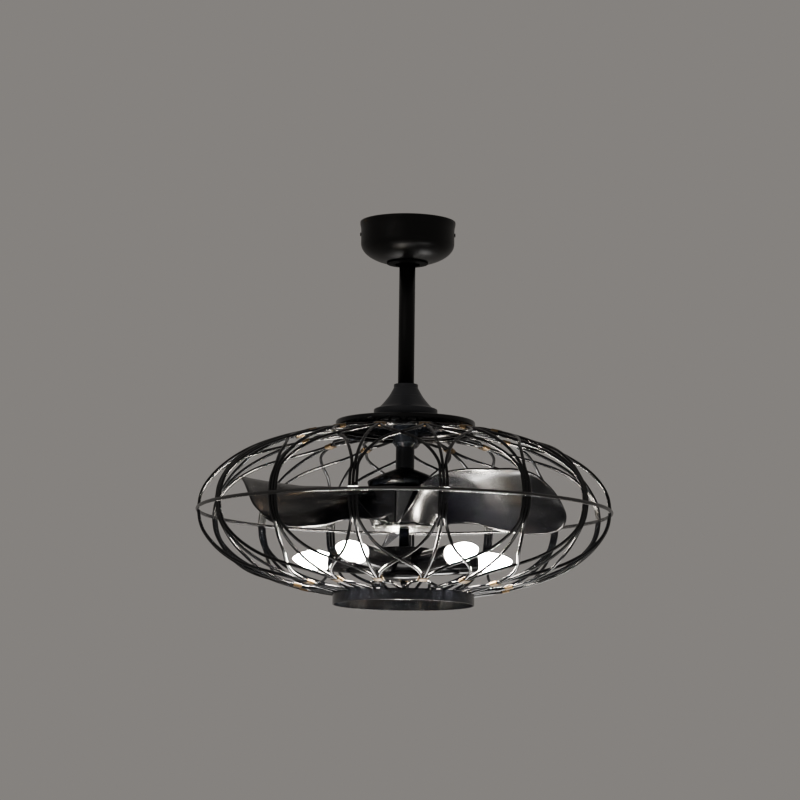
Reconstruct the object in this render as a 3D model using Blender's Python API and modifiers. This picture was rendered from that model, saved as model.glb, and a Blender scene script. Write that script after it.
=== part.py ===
"""A caged ceiling fan with a five-lamp light kit, hung on a short downrod.

Metres, +Z up. The origin is on the ceiling, at the centre of the bracket's flat top.
Azimuths are in degrees from -Y, the side that faces the viewer, towards +X.
"""
import math

import bmesh
import bpy
from mathutils import Matrix, Vector

# Clearances and fineness
GAP = 0.0003
OVERRUN = 0.004
MERGE = 0.00001
WIDE_STEPS = 30
ROUND_STEPS = 20
MIDDLE_STEPS = 16
SMALL_STEPS = 12
HOLE_STEPS = 8
SCREW_STEPS = 6

# Where the main pieces hang
CAGE_DROP = 0.461
ROD_RADIUS = 0.0127
ROD_WALL = 0.0020

# Ceiling bracket, hanging ball and receiver
BRACKET_LENGTH = 0.1120
BRACKET_WIDTH = 0.0400
BRACKET_THICKNESS = 0.0025
BRACKET_ARM_SPAN = 0.0660
BRACKET_ARM_DEPTH = 0.0560
EAR_WIDTH_SHARE = 0.4
TAB_INSET = 0.0012
SEAT_HOLE_RADIUS = 0.0180
BALL_RADIUS = 0.0220
BALL_TOP_FLAT = 0.0150
BALL_ARC_COUNT = 7
CEILING_SCREW_SPAN = 0.0890
CEILING_SCREW_RADIUS = 0.0024
CEILING_SCREW_HEAD_RADIUS = 0.0046
CEILING_SCREW_HEAD_HEIGHT = 0.0028
RECEIVER_LENGTH = 0.0340
RECEIVER_WIDTH = 0.0220
RECEIVER_HEIGHT = 0.0180

# Canopy
CANOPY_RADIUS = 0.0738
CANOPY_FLARE = 0.0016
CANOPY_FLARE_TOP = 0.0040
CANOPY_FLARE_BOTTOM = 0.0110
CANOPY_HEIGHT = 0.0682
CANOPY_WALL_HEIGHT = 0.0340
CANOPY_WALL = 0.0012
CANOPY_HOLE_RADIUS = 0.0215
CANOPY_ROUND_POWER = 2.1
CANOPY_ROUND_COUNT = 6
CANOPY_SCREW_DROP = 0.0200
CANOPY_SCREW_RADIUS = 0.0020
CANOPY_SCREW_HEAD_RADIUS = 0.0034
CANOPY_SCREW_HEAD_HEIGHT = 0.0013
TRIM_RADIUS = 0.0325
TRIM_HOLE_RADIUS = 0.0195
TRIM_THICKNESS = 0.0022

# Cross pins of the rod
PIN_RADIUS = 0.0032
PIN_OVERHANG = 0.0030
PIN_REACH_SHARE = 0.93
COTTER_RADIUS = 0.0008
COTTER_LENGTH = 0.0110

# Coupling and its cover
COUPLING_RADIUS = 0.0170
COUPLING_HEIGHT = 0.0420
COUPLING_FLANGE_RADIUS = 0.0340
COUPLING_FLANGE_HEIGHT = 0.0040
COVER_HEIGHT = 0.0586
COVER_BASE_RADIUS = 0.0500
COVER_COLLAR_RADIUS = 0.0190
COVER_WALL = 0.0012
SET_SCREW_RADIUS = 0.0025
SET_SCREW_HEAD_HEIGHT = 0.0025
SET_HEAD_SHARE = 1.5
WIRING_BORE_SHARE = 0.7

# Top plate, which carries the cage
PLATE_RADIUS = 0.1095
PLATE_HEIGHT = 0.0140
PLATE_WALL = 0.0016
PLATE_ROUND = 0.0030
PLATE_CORNER_SHARE = 0.25
PLATE_RISE = 0.0090
PLATE_SCREW_CIRCLE = 0.0260
PLATE_SCREW_RADIUS = 0.0025
PLATE_SCREW_HEAD_RADIUS = 0.0045
PLATE_SCREW_HEAD_HEIGHT = 0.0030
PLATE_SCREW_COUNT = 3

# Cage of round wire
CAGE_HALF_HEIGHT = 0.1340
CAGE_POWER = 2.12
RING_RADIUS = 0.3224
RING_TUBE = 0.00335
RING_STEPS = 60
WIRE_RADIUS = 0.0024
WIRE_PITCH = 0.0053
WIRE_CROSSING = 0.0027
CELL_COUNT = 15
CELL_PHASE = 10.3
TOP_RING_RADIUS = 0.1087
TOP_RING_TUBE = 0.00325
TOP_RING_STEPS = 30
BAND_RADIUS = 0.1105
BAND_HEIGHT = 0.0180
BAND_WALL = 0.0020
BAND_STEPS = 40
JUNCTION_RADIUS = 0.1650
SLEEVE_LENGTH = 0.0130

# Mast, motor and its fixed cap
MAST_RADIUS = 0.0145
MAST_FLANGE_RADIUS = 0.0340
MAST_FLANGE_HEIGHT = 0.0040
MAST_COLLAR_RADIUS = 0.0195
MAST_COLLAR_BOTTOM = 0.1080
MAST_COLLAR_SLOPE = 0.0060
MAST_BOTTOM = 0.0680
CAP_RADIUS = 0.0590
CAP_CONE_SHARE = 0.64
CAP_CONE_HEIGHT = 0.0585
CAP_SHOULDER = 0.0475
CAP_RIM_SHARE = 0.955
CAP_RIM_BOTTOM = 0.0385
CAP_WALL = 0.0013
SHAFT_RADIUS = 0.0080
SHAFT_BORE_RADIUS = 0.0050
STATOR_RADIUS = 0.0330
STATOR_HEIGHT = 0.0180
STATOR_MIDDLE = 0.0080
WINDING_RADIUS = 0.0270
WINDING_HEIGHT = 0.0080
WINDING_WALL = 0.0060
MAGNET_WALL = 0.0040
MAGNET_HEIGHT = 0.0200
BEARING_RADIUS = 0.0155
BEARING_HEIGHT = 0.0070
BEARING_TOP = 0.0400
DRUM_RADIUS = 0.0470
DRUM_WALL = 0.0080
DRUM_BOTTOM = -0.0210
END_PLATE_RADIUS = 0.0465
END_PLATE_THICKNESS = 0.0025
END_SCREW_CIRCLE = 0.0425
END_SCREW_RADIUS = 0.0018
END_SCREW_HEAD_RADIUS = 0.0034
END_SCREW_HEAD_HEIGHT = 0.0022
END_SCREW_DEPTH = 0.0080
END_SCREW_STEPS = (18.0, 75.0)

# Blades
BLADE_COUNT = 3
BLADE_PHASE = 0.0
BLADE_REACH = 0.2720
BLADE_DEPTH = 0.0880
BLADE_MIDDLE = 0.0020
BLADE_THICKNESS = 0.0026
BLADE_ROWS = 8
BLADE_COLUMNS = 7
COLLAR_THICKNESS = 0.0024
COLLAR_CLEARANCE = 0.0011
COLLAR_TOP = 0.0375
COLLAR_LEAD_LOW = -10.0
COLLAR_LEAD_HIGH = 20.0
COLLAR_SEAM = 103.0
COLLAR_FLANGE = 0.0090
COLLAR_COLUMNS = 10
CAMBER_SHARE = 0.3

# Light kit
LOWER_MAST_BOTTOM = -0.0585
HUB_TOP = -0.0570
HUB_RADIUS = 0.0410
HUB_BOTTOM = -0.1080
HUB_WALL_BOTTOM = -0.0975
HUB_WALL = 0.0014
HUB_SPLIT = 0.0030
HUB_NUT_RADIUS = 0.0140
HUB_NUT_HEIGHT = 0.0060
BOWL_COUNT = 4
BOWL_POWER = 0.62
FINIAL_RADIUS = 0.0050
FINIAL_HEIGHT = 0.0080
FINIAL_HOLE_SHARE = 0.6
LAMP_COUNT = 5
LAMP_PHASE = 38.0
LAMP_TILT = 5.0
HOLDER_RADIUS = 0.0165
HOLDER_WALL = 0.0014
HOLDER_REACH = 0.1200
HOLDER_MIDDLE_REACH = 0.0950
HOLDER_MIDDLE_DROP = -0.0770
SOCKET_RADIUS = 0.0148
SOCKET_DEPTH = 0.0260
SOCKET_BORE_RADIUS = 0.0128
SOCKET_INSET = 0.0030
SOCKET_FLOOR = 0.0040
BULB_BASE_RADIUS = 0.0122
BULB_BASE_LENGTH = 0.0240
BULB_RADIUS = 0.0150
BULB_REACH = 0.1820

# A screw's head: shares of its radius at the top and of its height at the edge
HEAD_TOP_SHARE = 0.7
HEAD_EDGE_SHARE = 0.5

# The coupling cover's outline: radius share of collar to base, height share of the cover
COVER_SHARES = ((0, 1), (0, 0.905), (0.174, 0.734), (0.374, 0.58), (0.70, 0.385), (0.92, 0.33), (1, 0.31))

# An upright wire's heights on the cage, as shares of half the cage's height
MERIDIAN_SHARES = (0.34, 0.64)

# A looping wire's way: height share on the cage, share of the half cell, side-by-side share, crossing share
CELL_WIRE_SHARES = (
    (0.31, -1, 1, 0),
    (0.47, -0.79, 0.3, 0.2),
    (0.61, -0.48, 0, 0.8),
    (0.71, 0, 0, 1),
    (0.79, 0.53, 0, 0.5),
)
RETURN_RADIUS_SHARE = 0.62
RETURN_CELL_SHARE = 0.55

# The blade's high and low edges: share of the reach past the drum, azimuth, share of the depth
HIGH_EDGE_SHARES = (
    (0.00, 22.0, 0.385),
    (0.14, 20.5, 0.405),
    (0.32, 19.5, 0.43),
    (0.48, 18.4, 0.445),
    (0.62, 21.8, 0.478),
    (0.73, 26.5, 0.495),
    (0.82, 33.0, 0.49),
)
LOW_EDGE_SHARES = (
    (0.00, 94.0, -0.265),
    (0.14, 80.0, -0.215),
    (0.32, 72.3, -0.255),
    (0.48, 71.2, -0.37),
    (0.62, 70.8, -0.43),
    (0.73, 70.6, -0.46),
    (0.85, 69.5, -0.455),
)
# The blade's outer edge, from the high corner to the low one
TIP_SHARES = (
    (0.82, 33.0, 0.49),
    (0.915, 40.5, 0.50),
    (0.955, 47.5, 0.445),
    (0.970, 53.2, 0.315),
    (0.988, 58.1, 0.145),
    (1.000, 62.6, -0.075),
    (0.988, 66.0, -0.23),
    (0.940, 68.2, -0.385),
    (0.85, 69.5, -0.455),
)

# The clear bulb's outline past its base: share of the way to the tip, share of the radius
BULB_SHARES = ((0.00, 0.78), (0.25, 0.96), (0.42, 1.0), (0.66, 0.84), (0.88, 0.42))

# Colours: red, green, blue, roughness, metallic
BLACK_PAINT = (0.020, 0.018, 0.018, 0.45, 0.0)
WIRE_PAINT = (0.025, 0.022, 0.022, 0.40, 0.3)
STEEL = (0.60, 0.60, 0.60, 0.35, 1.0)
GREY_STEEL = (0.30, 0.30, 0.32, 0.50, 1.0)
COPPER = (0.60, 0.25, 0.10, 0.40, 1.0)
BLACK_PLASTIC = (0.015, 0.015, 0.016, 0.20, 0.0)
WHITE_CERAMIC = (0.80, 0.79, 0.75, 0.35, 0.0)
CLEAR_GLASS = (0.95, 0.90, 0.80, 0.05, 0.0)


def new_collection(name):
    collection = bpy.data.collections.new(name)
    bpy.context.scene.collection.children.link(collection)
    return collection


def clear_scene():
    for old in list(bpy.data.objects):
        bpy.data.objects.remove(old)


def material(obj, colour):
    """Each object has a Principled material of its own."""
    made = bpy.data.materials.new(obj.name)
    made.use_nodes = True
    shader = made.node_tree.nodes["Principled BSDF"]
    shader.inputs["Base Color"].default_value = (colour[0], colour[1], colour[2], 1.0)
    shader.inputs["Roughness"].default_value = colour[3]
    shader.inputs["Metallic"].default_value = colour[4]
    obj.data.materials.clear()
    obj.data.materials.append(made)


def place(name, data, colour=None, collection=None):
    obj = bpy.data.objects.new(name, data)
    (collection or PARTS).objects.link(obj)
    if colour:
        material(obj, colour)
    return obj


def heading(azimuth):
    """A turn about Z that takes the viewer's side, -Y, to an azimuth."""
    return Matrix.Rotation(math.radians(azimuth), 4, "Z")


def spot(radius, azimuth, height, side=0.0):
    """A point at a radius and azimuth, moved sideways towards growing azimuth."""
    return heading(azimuth) @ Vector((side, -radius, height))


def cage(height):
    """A height above the cage's middle plane, as a height under the ceiling."""
    return height - CAGE_DROP


def evaluated_mesh(obj):
    bpy.context.view_layer.update()
    return bpy.data.meshes.new_from_object(obj.evaluated_get(bpy.context.evaluated_depsgraph_get()))


def turned(name, profile, colour, steps=ROUND_STEPS, wall=0.0, closed=False, collection=None):
    """A profile of radius and height pairs, top to bottom on its outer side, turned about Z."""
    mesh = bpy.data.meshes.new(name)
    edges = [(i, i + 1) for i in range(len(profile) - 1)]
    if closed:
        edges.append((len(profile) - 1, 0))
    mesh.from_pydata([(r, 0, z) for r, z in profile], edges, [])
    obj = place(name, mesh, colour, collection)
    screw = obj.modifiers.new("Turn", "SCREW")
    screw.steps = steps
    screw.render_steps = steps
    screw.use_merge_vertices = True
    screw.merge_threshold = MERGE
    screw.use_smooth_shade = True
    if wall:
        shell = obj.modifiers.new("Wall", "SOLIDIFY")
        shell.thickness = wall
        shell.offset = -1
        shell.use_even_offset = True
    return obj


def tube_profile(outer, inner, top, bottom):
    return [(outer, top), (outer, bottom), (inner, bottom), (inner, top)]


def disc_profile(radius, top, bottom):
    return [(0, top), (radius, top), (radius, bottom), (0, bottom)]


def block(name, size, middle, colour, collection=None):
    mesh = bpy.data.meshes.new(name)
    bm = bmesh.new()
    bmesh.ops.create_cube(bm, size=1.0)
    bmesh.ops.scale(bm, vec=size, verts=bm.verts)
    bmesh.ops.translate(bm, vec=middle, verts=bm.verts)
    bm.to_mesh(mesh)
    bm.free()
    return place(name, mesh, colour, collection)


def rod_between(bm, start, end, radius, steps):
    """A closed cylinder from one point to another, added to a mesh."""
    start = Vector(start)
    end = Vector(end)
    way = end - start
    turn = way.to_track_quat("Z", "Y").to_matrix().to_4x4()
    matrix = Matrix.Translation((start + end) / 2) @ turn
    bmesh.ops.create_cone(bm, cap_ends=True, segments=steps, radius1=radius, radius2=radius,
                          depth=way.length, matrix=matrix)


def rods(name, lines, colour, steps, collection=None):
    """Separate cylinders in one object, each given as start, end and radius."""
    mesh = bpy.data.meshes.new(name)
    bm = bmesh.new()
    for start, end, radius in lines:
        rod_between(bm, start, end, radius, steps)
    bm.to_mesh(mesh)
    bm.free()
    mesh.shade_smooth()
    mesh.set_sharp_from_angle(angle=math.radians(30))
    return place(name, mesh, colour, collection)


def cut(obj, cutter, operation="DIFFERENCE"):
    """A Boolean with the exact solver, whose cutter stays hidden in the cutters' collection."""
    cutter.hide_render = True
    cutter.display_type = "WIRE"
    boolean = obj.modifiers.new(cutter.name, "BOOLEAN")
    boolean.operation = operation
    boolean.solver = "EXACT"
    boolean.object = cutter


def screw_outline(radius, head_radius, head_height, length):
    """Half a pan-head screw, whose head rests at height zero and whose shank goes down."""
    return [(0, head_height), (head_radius * HEAD_TOP_SHARE, head_height),
            (head_radius, head_height * HEAD_EDGE_SHARE), (head_radius, 0), (radius, 0),
            (radius, -length), (0, -length)]


def headed_screws(name, places, colour, radius, head_radius, head_height):
    """Screws given as the seat under the head, the way of the shank and its length.

    Each screw is an object of its own. Returns the cutter of their clearance holes.
    """
    holes = []
    for number, (seat, way, length) in enumerate(places, 1):
        seat = Vector(seat)
        way = Vector(way).normalized()
        screw = turned("%s_%d" % (name, number), screw_outline(radius, head_radius, head_height, length),
                       colour, steps=SCREW_STEPS)
        screw.matrix_world = Matrix.Translation(seat) @ (-way).to_track_quat("Z", "Y").to_matrix().to_4x4()
        holes.append((seat - way * OVERRUN, seat + way * (length + GAP), radius + GAP))
    return rods(name + "_holes", holes, None, HOLE_STEPS, CUTTERS)


def wires(name, paths, radius, resolution, closed=False):
    """Round wires along their own points, as one mesh among the cutters, with their ends closed."""
    curve = bpy.data.curves.new(name, "CURVE")
    curve.dimensions = "3D"
    curve.bevel_depth = radius
    curve.bevel_resolution = resolution
    curve.use_fill_caps = not closed
    for points in paths:
        spline = curve.splines.new("POLY")
        spline.points.add(len(points) - 1)
        for target, point in zip(spline.points, points):
            target.co = (point[0], point[1], point[2], 1.0)
        spline.use_cyclic_u = closed
    drawn = place(name, curve, None, CUTTERS)
    mesh = evaluated_mesh(drawn)
    bpy.data.objects.remove(drawn)
    bm = bmesh.new()
    bm.from_mesh(mesh)
    bmesh.ops.remove_doubles(bm, verts=bm.verts, dist=MERGE)
    bmesh.ops.recalc_face_normals(bm, faces=bm.faces)
    bm.to_mesh(mesh)
    bm.free()
    return mesh


def weld(obj, mesh, name):
    """Joins wires that cross each other to an object with one exact union."""
    piece = place(name, mesh, None, CUTTERS)
    cut(obj, piece, "UNION")
    obj.modifiers[piece.name].use_self = True


def make_bracket():
    """The U bracket that is screwed to the ceiling box, with the seat of the ball."""
    seat_top = -BRACKET_ARM_DEPTH
    ear_width = BRACKET_WIDTH * EAR_WIDTH_SHARE
    plate = block("ceiling_bracket", (BRACKET_LENGTH, BRACKET_WIDTH, BRACKET_THICKNESS),
                  (0, 0, -BRACKET_THICKNESS / 2), GREY_STEEL)
    overlap = BRACKET_THICKNESS / 2
    for side in (-1, 1):
        arm = block("bracket_arm_%d" % side,
                    (BRACKET_THICKNESS, BRACKET_WIDTH, BRACKET_ARM_DEPTH),
                    (side * BRACKET_ARM_SPAN / 2, 0, -BRACKET_ARM_DEPTH / 2 - overlap), None, CUTTERS)
        cut(plate, arm, "UNION")
    seat = block("bracket_seat", (BRACKET_ARM_SPAN + overlap, BRACKET_WIDTH, BRACKET_THICKNESS),
                 (0, 0, seat_top - BRACKET_THICKNESS / 2), None, CUTTERS)
    cut(plate, seat, "UNION")
    hole = rods("bracket_seat_hole", [((0, 0, seat_top + OVERRUN),
                                       (0, 0, seat_top - BRACKET_THICKNESS - OVERRUN), SEAT_HOLE_RADIUS)],
                None, ROUND_STEPS, CUTTERS)
    cut(plate, hole)
    places = [((side * CEILING_SCREW_SPAN / 2, 0, -BRACKET_THICKNESS - GAP), (0, 0, 1), BRACKET_THICKNESS)
              for side in (-1, 1)]
    cut(plate, headed_screws("ceiling_screw", places, STEEL, CEILING_SCREW_RADIUS,
                             CEILING_SCREW_HEAD_RADIUS, CEILING_SCREW_HEAD_HEIGHT))
    wall_inside = CANOPY_RADIUS - CANOPY_WALL
    ear_length = wall_inside - GAP - BRACKET_LENGTH / 2 + overlap
    for side in (-1, 1):
        middle = side * (wall_inside - GAP - ear_length / 2)
        ear = block("bracket_ear_%d" % side, (ear_length, ear_width, BRACKET_THICKNESS),
                    (middle, 0, -BRACKET_THICKNESS / 2), None, CUTTERS)
        cut(plate, ear, "UNION")
        tab_height = CANOPY_SCREW_DROP + CANOPY_SCREW_HEAD_RADIUS
        reach = wall_inside - GAP - BRACKET_THICKNESS / 2 - TAB_INSET
        tab = block("bracket_tab_%d" % side, (BRACKET_THICKNESS, ear_width, tab_height),
                    (side * reach, 0, -tab_height / 2), None, CUTTERS)
        cut(plate, tab, "UNION")
    return plate


def canopy_outline():
    """The canopy's outer outline from the ceiling down to its rod hole."""
    flared = CANOPY_RADIUS + CANOPY_FLARE
    outline = [(flared, -GAP), (flared, -CANOPY_FLARE_TOP), (CANOPY_RADIUS, -CANOPY_FLARE_BOTTOM)]
    depth = CANOPY_HEIGHT - CANOPY_WALL_HEIGHT
    for i in range(CANOPY_ROUND_COUNT):
        angle = math.pi / 2 * i / CANOPY_ROUND_COUNT
        round_share = math.cos(angle) ** (2 / CANOPY_ROUND_POWER)
        fall_share = math.sin(angle) ** (2 / CANOPY_ROUND_POWER)
        outline.append((CANOPY_RADIUS * round_share, -CANOPY_WALL_HEIGHT - depth * fall_share))
    kept = [point for point in outline if point[0] > CANOPY_HOLE_RADIUS]
    radius, height = kept[-1]
    hole_share = (radius - CANOPY_HOLE_RADIUS) / radius
    return kept + [(CANOPY_HOLE_RADIUS, height - (CANOPY_HEIGHT + height) * hole_share)]


def make_canopy():
    outline = canopy_outline()
    canopy = turned("canopy", outline, BLACK_PAINT, wall=CANOPY_WALL)
    seat = CANOPY_RADIUS + GAP
    length = CANOPY_WALL + TAB_INSET + BRACKET_THICKNESS
    places = [((side * seat, 0, -CANOPY_SCREW_DROP), (-side, 0, 0), length) for side in (-1, 1)]
    holes = headed_screws("canopy_screw", places, BLACK_PAINT, CANOPY_SCREW_RADIUS,
                          CANOPY_SCREW_HEAD_RADIUS, CANOPY_SCREW_HEAD_HEIGHT)
    cut(canopy, holes)
    return outline, holes


def make_trim_ring(outline):
    """The trim ring fills the canopy's hole: a collar inside it and a flange that follows its underside."""
    (outer_radius, outer_height), (hole_radius, edge) = outline[-2:]
    slope = (outer_height - edge) / (outer_radius - hole_radius)
    rim = edge + slope * (TRIM_RADIUS - hole_radius) - GAP
    bore = hole_radius - GAP
    profile = [(TRIM_RADIUS, rim), (TRIM_RADIUS, rim - TRIM_THICKNESS),
               (TRIM_HOLE_RADIUS, edge - GAP - TRIM_THICKNESS), (TRIM_HOLE_RADIUS, edge + TRIM_THICKNESS),
               (bore, edge + TRIM_THICKNESS), (bore, edge - GAP - slope * GAP)]
    turned("canopy_trim_ring", profile, BLACK_PAINT, closed=True)


def ball_middle():
    """The ball's centre: it rests in the seat's round hole with the usual gap."""
    rise = math.sqrt((BALL_RADIUS + GAP) ** 2 - SEAT_HOLE_RADIUS ** 2)
    return -BRACKET_ARM_DEPTH + rise + GAP


def make_ball():
    middle = ball_middle()
    bore = ROD_RADIUS + GAP
    low = math.acos(bore / BALL_RADIUS)
    high = math.asin(BALL_TOP_FLAT / BALL_RADIUS)
    outline = [(bore, middle + BALL_TOP_FLAT)]
    for i in range(BALL_ARC_COUNT + 1):
        angle = high - (high + low) * i / BALL_ARC_COUNT
        outline.append((BALL_RADIUS * math.cos(angle), middle + BALL_RADIUS * math.sin(angle)))
    ball = turned("hanger_ball", outline, BLACK_PLASTIC, steps=MIDDLE_STEPS, closed=True)
    pin_end = BALL_RADIUS * PIN_REACH_SHARE
    lines = [((-pin_end, 0, middle), (pin_end, 0, middle), PIN_RADIUS)]
    rods("ball_cross_pin", lines, STEEL, SMALL_STEPS)
    holes = [((-BALL_RADIUS - OVERRUN, 0, middle), (BALL_RADIUS + OVERRUN, 0, middle), PIN_RADIUS + GAP)]
    cutter = rods("ball_pin_hole", holes, None, SMALL_STEPS, CUTTERS)
    cut(ball, cutter)
    return cutter


def plate_top():
    return cage(CAGE_HALF_HEIGHT + PLATE_RISE)


def make_rod(ball_pin_hole):
    """The downrod, pinned in the ball above and in the coupling below."""
    flange_top = plate_top() + GAP + COUPLING_FLANGE_HEIGHT
    bottom = flange_top + GAP
    top = ball_middle() + BALL_TOP_FLAT + PIN_OVERHANG
    rod = turned("downrod", tube_profile(ROD_RADIUS, ROD_RADIUS - ROD_WALL, top, bottom), BLACK_PAINT,
                 steps=MIDDLE_STEPS, closed=True)
    cut(rod, ball_pin_hole)
    pin_height = flange_top + COUPLING_HEIGHT / 2
    reach = COUPLING_RADIUS + PIN_OVERHANG
    pin_hole = rods("rod_pin_hole", [((0, -reach, pin_height), (0, reach, pin_height), PIN_RADIUS + GAP)],
                    None, SMALL_STEPS, CUTTERS)
    cut(rod, pin_hole)
    pin = rods("rod_pin", [((0, -reach, pin_height), (0, reach, pin_height), PIN_RADIUS)], STEEL, SMALL_STEPS)
    cotter_y = reach - PIN_OVERHANG / 2
    half = COTTER_LENGTH / 2
    cotter_line = ((0, cotter_y, pin_height - half), (0, cotter_y, pin_height + half))
    rods("rod_cotter_pin", [(*cotter_line, COTTER_RADIUS)], STEEL, SCREW_STEPS)
    cotter_hole = rods("rod_cotter_hole", [(*cotter_line, COTTER_RADIUS + GAP)], None, HOLE_STEPS, CUTTERS)
    cut(pin, cotter_hole)
    return pin_hole, pin_height


def make_coupling(pin_hole, pin_height):
    """The coupling clamps the rod and carries the top plate on its flange."""
    foot = plate_top() + GAP
    top = foot + COUPLING_FLANGE_HEIGHT + COUPLING_HEIGHT
    bore = ROD_RADIUS + GAP
    wiring_bore = WIRING_BORE_SHARE * ROD_RADIUS
    flange_top = foot + COUPLING_FLANGE_HEIGHT
    profile = [(COUPLING_RADIUS, top), (COUPLING_RADIUS, flange_top), (COUPLING_FLANGE_RADIUS, flange_top),
               (COUPLING_FLANGE_RADIUS, foot), (wiring_bore, foot), (wiring_bore, flange_top),
               (bore, flange_top), (bore, top)]
    coupling = turned("coupling", profile, GREY_STEEL, steps=MIDDLE_STEPS, closed=True)
    cut(coupling, pin_hole)
    height = (top + pin_height) / 2
    length = COUPLING_RADIUS - ROD_RADIUS
    seat = COUPLING_RADIUS + GAP
    places = [((seat, 0, height), (-1, 0, 0), length)]
    cut(coupling, headed_screws("set_screw", places, STEEL, SET_SCREW_RADIUS,
                                SET_SCREW_RADIUS * SET_HEAD_SHARE, SET_SCREW_HEAD_HEIGHT))
    return coupling


def make_coupling_cover():
    base = plate_top() + GAP
    collar = COVER_COLLAR_RADIUS
    outline = [(collar + (COVER_BASE_RADIUS - collar) * r_share, base + COVER_HEIGHT * z_share)
               for r_share, z_share in COVER_SHARES]
    outline.insert(0, (ROD_RADIUS + COVER_WALL, base + COVER_HEIGHT))
    outline.append((COVER_BASE_RADIUS, base))
    turned("coupling_cover", outline, BLACK_PAINT, wall=COVER_WALL)


def make_top_plate(coupling):
    """A shallow pan, open below, whose rim rests on the cage's top ring."""
    top = plate_top()
    bottom = top - PLATE_HEIGHT
    corner = PLATE_ROUND * PLATE_CORNER_SHARE
    outline = [(WIRING_BORE_SHARE * ROD_RADIUS, top), (PLATE_RADIUS - PLATE_ROUND, top),
               (PLATE_RADIUS - corner, top - corner), (PLATE_RADIUS, top - PLATE_ROUND),
               (PLATE_RADIUS, bottom)]
    plate = turned("cage_top_plate", outline, BLACK_PAINT, steps=WIDE_STEPS, wall=PLATE_WALL)
    under = top - PLATE_WALL - GAP
    flange = under - MAST_FLANGE_HEIGHT
    bore = SHAFT_RADIUS + GAP
    collar_bottom = cage(MAST_COLLAR_BOTTOM)
    mast_bottom = cage(MAST_BOTTOM) + GAP
    profile = [(MAST_FLANGE_RADIUS, under), (MAST_FLANGE_RADIUS, flange), (MAST_COLLAR_RADIUS, flange),
               (MAST_COLLAR_RADIUS, collar_bottom), (MAST_RADIUS, collar_bottom - MAST_COLLAR_SLOPE),
               (MAST_RADIUS, mast_bottom), (bore, mast_bottom), (bore, under)]
    mast = turned("upper_mast", profile, BLACK_PAINT, steps=MIDDLE_STEPS, closed=True)
    seat = top + GAP + COUPLING_FLANGE_HEIGHT + GAP
    length = seat - flange + PLATE_SCREW_HEAD_HEIGHT
    places = []
    for i in range(PLATE_SCREW_COUNT):
        azimuth = 360 * i / PLATE_SCREW_COUNT
        places.append((spot(PLATE_SCREW_CIRCLE, azimuth, seat), (0, 0, -1), length))
    holes = headed_screws("top_plate_screw", places, STEEL, PLATE_SCREW_RADIUS, PLATE_SCREW_HEAD_RADIUS,
                          PLATE_SCREW_HEAD_HEIGHT)
    for piece in (plate, coupling, mast):
        cut(piece, holes)


def cage_radius(height):
    """The cage wires' radius at a height over the middle plane, a rounded-square quarter."""
    reach = RING_RADIUS - WIRE_RADIUS / 2
    return reach * (1 - (abs(height) / CAGE_HALF_HEIGHT) ** CAGE_POWER) ** (1 / CAGE_POWER)


def cage_height(radius):
    reach = RING_RADIUS - WIRE_RADIUS / 2
    return CAGE_HALF_HEIGHT * (1 - (radius / reach) ** CAGE_POWER) ** (1 / CAGE_POWER)


def top_ring_height():
    return plate_top() - PLATE_HEIGHT - GAP - TOP_RING_TUBE


def junction_radii():
    """Where three wires start and end to run side by side through a sleeve."""
    reach = SLEEVE_LENGTH / 2 + WIRE_PITCH
    return JUNCTION_RADIUS + reach, JUNCTION_RADIUS - reach


def wire_end_radius(side):
    """Upper wires end in the top ring, lower ones in the band's upper edge."""
    return TOP_RING_RADIUS if side > 0 else BAND_RADIUS - BAND_WALL / 2


def wire_end_height(side):
    """Under the ceiling: the top ring's middle, or the band's upper edge."""
    return top_ring_height() if side > 0 else cage(-cage_height(wire_end_radius(side)))


def wire_start_height(side):
    """Upper wires start in the middle ring, and lower ones just under it."""
    return 0.0 if side > 0 else RING_TUBE + GAP


def meridian_points(azimuth, side):
    """An upright wire's points from the middle ring to the end ring."""
    heights = [wire_start_height(side)] + [CAGE_HALF_HEIGHT * share for share in MERIDIAN_SHARES]
    points = [spot(cage_radius(z), azimuth, cage(side * z)) for z in heights]
    for radius in junction_radii():
        points.append(spot(radius, azimuth, cage(side * cage_height(radius))))
    points.append(spot(wire_end_radius(side), azimuth, wire_end_height(side)))
    return points


def cell_wire_points(middle, hand, side):
    """A looping wire's points in one cell: up beside one upright, across to the next one, and back.

    The hand is 1 for the wire that starts at the lower azimuth and -1 for its mirror image.
    """
    half = 180 / CELL_COUNT
    heights = [(wire_start_height(side) / CAGE_HALF_HEIGHT, -1, 1, 0)] + list(CELL_WIRE_SHARES)
    points = []
    for height_share, cell_share, beside, lifted in heights:
        z = CAGE_HALF_HEIGHT * height_share
        radius = cage_radius(z) + hand * lifted * WIRE_CROSSING
        azimuth = middle + hand * cell_share * half
        points.append(spot(radius, azimuth, cage(side * z), hand * beside * WIRE_PITCH))
    for radius in junction_radii():
        height = cage(side * cage_height(radius))
        points.append(spot(radius, middle + hand * half, height, -hand * WIRE_PITCH))
    end = wire_end_radius(side)
    between = end + (JUNCTION_RADIUS - end) * RETURN_RADIUS_SHARE
    height = cage(side * cage_height(between))
    points.append(spot(between, middle + hand * half * RETURN_CELL_SHARE, height))
    points.append(spot(end, middle, wire_end_height(side), hand * WIRE_PITCH / 2))
    return points


def circle(radius, height, steps):
    return [spot(radius, 360 * i / steps, height) for i in range(steps)]


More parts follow.
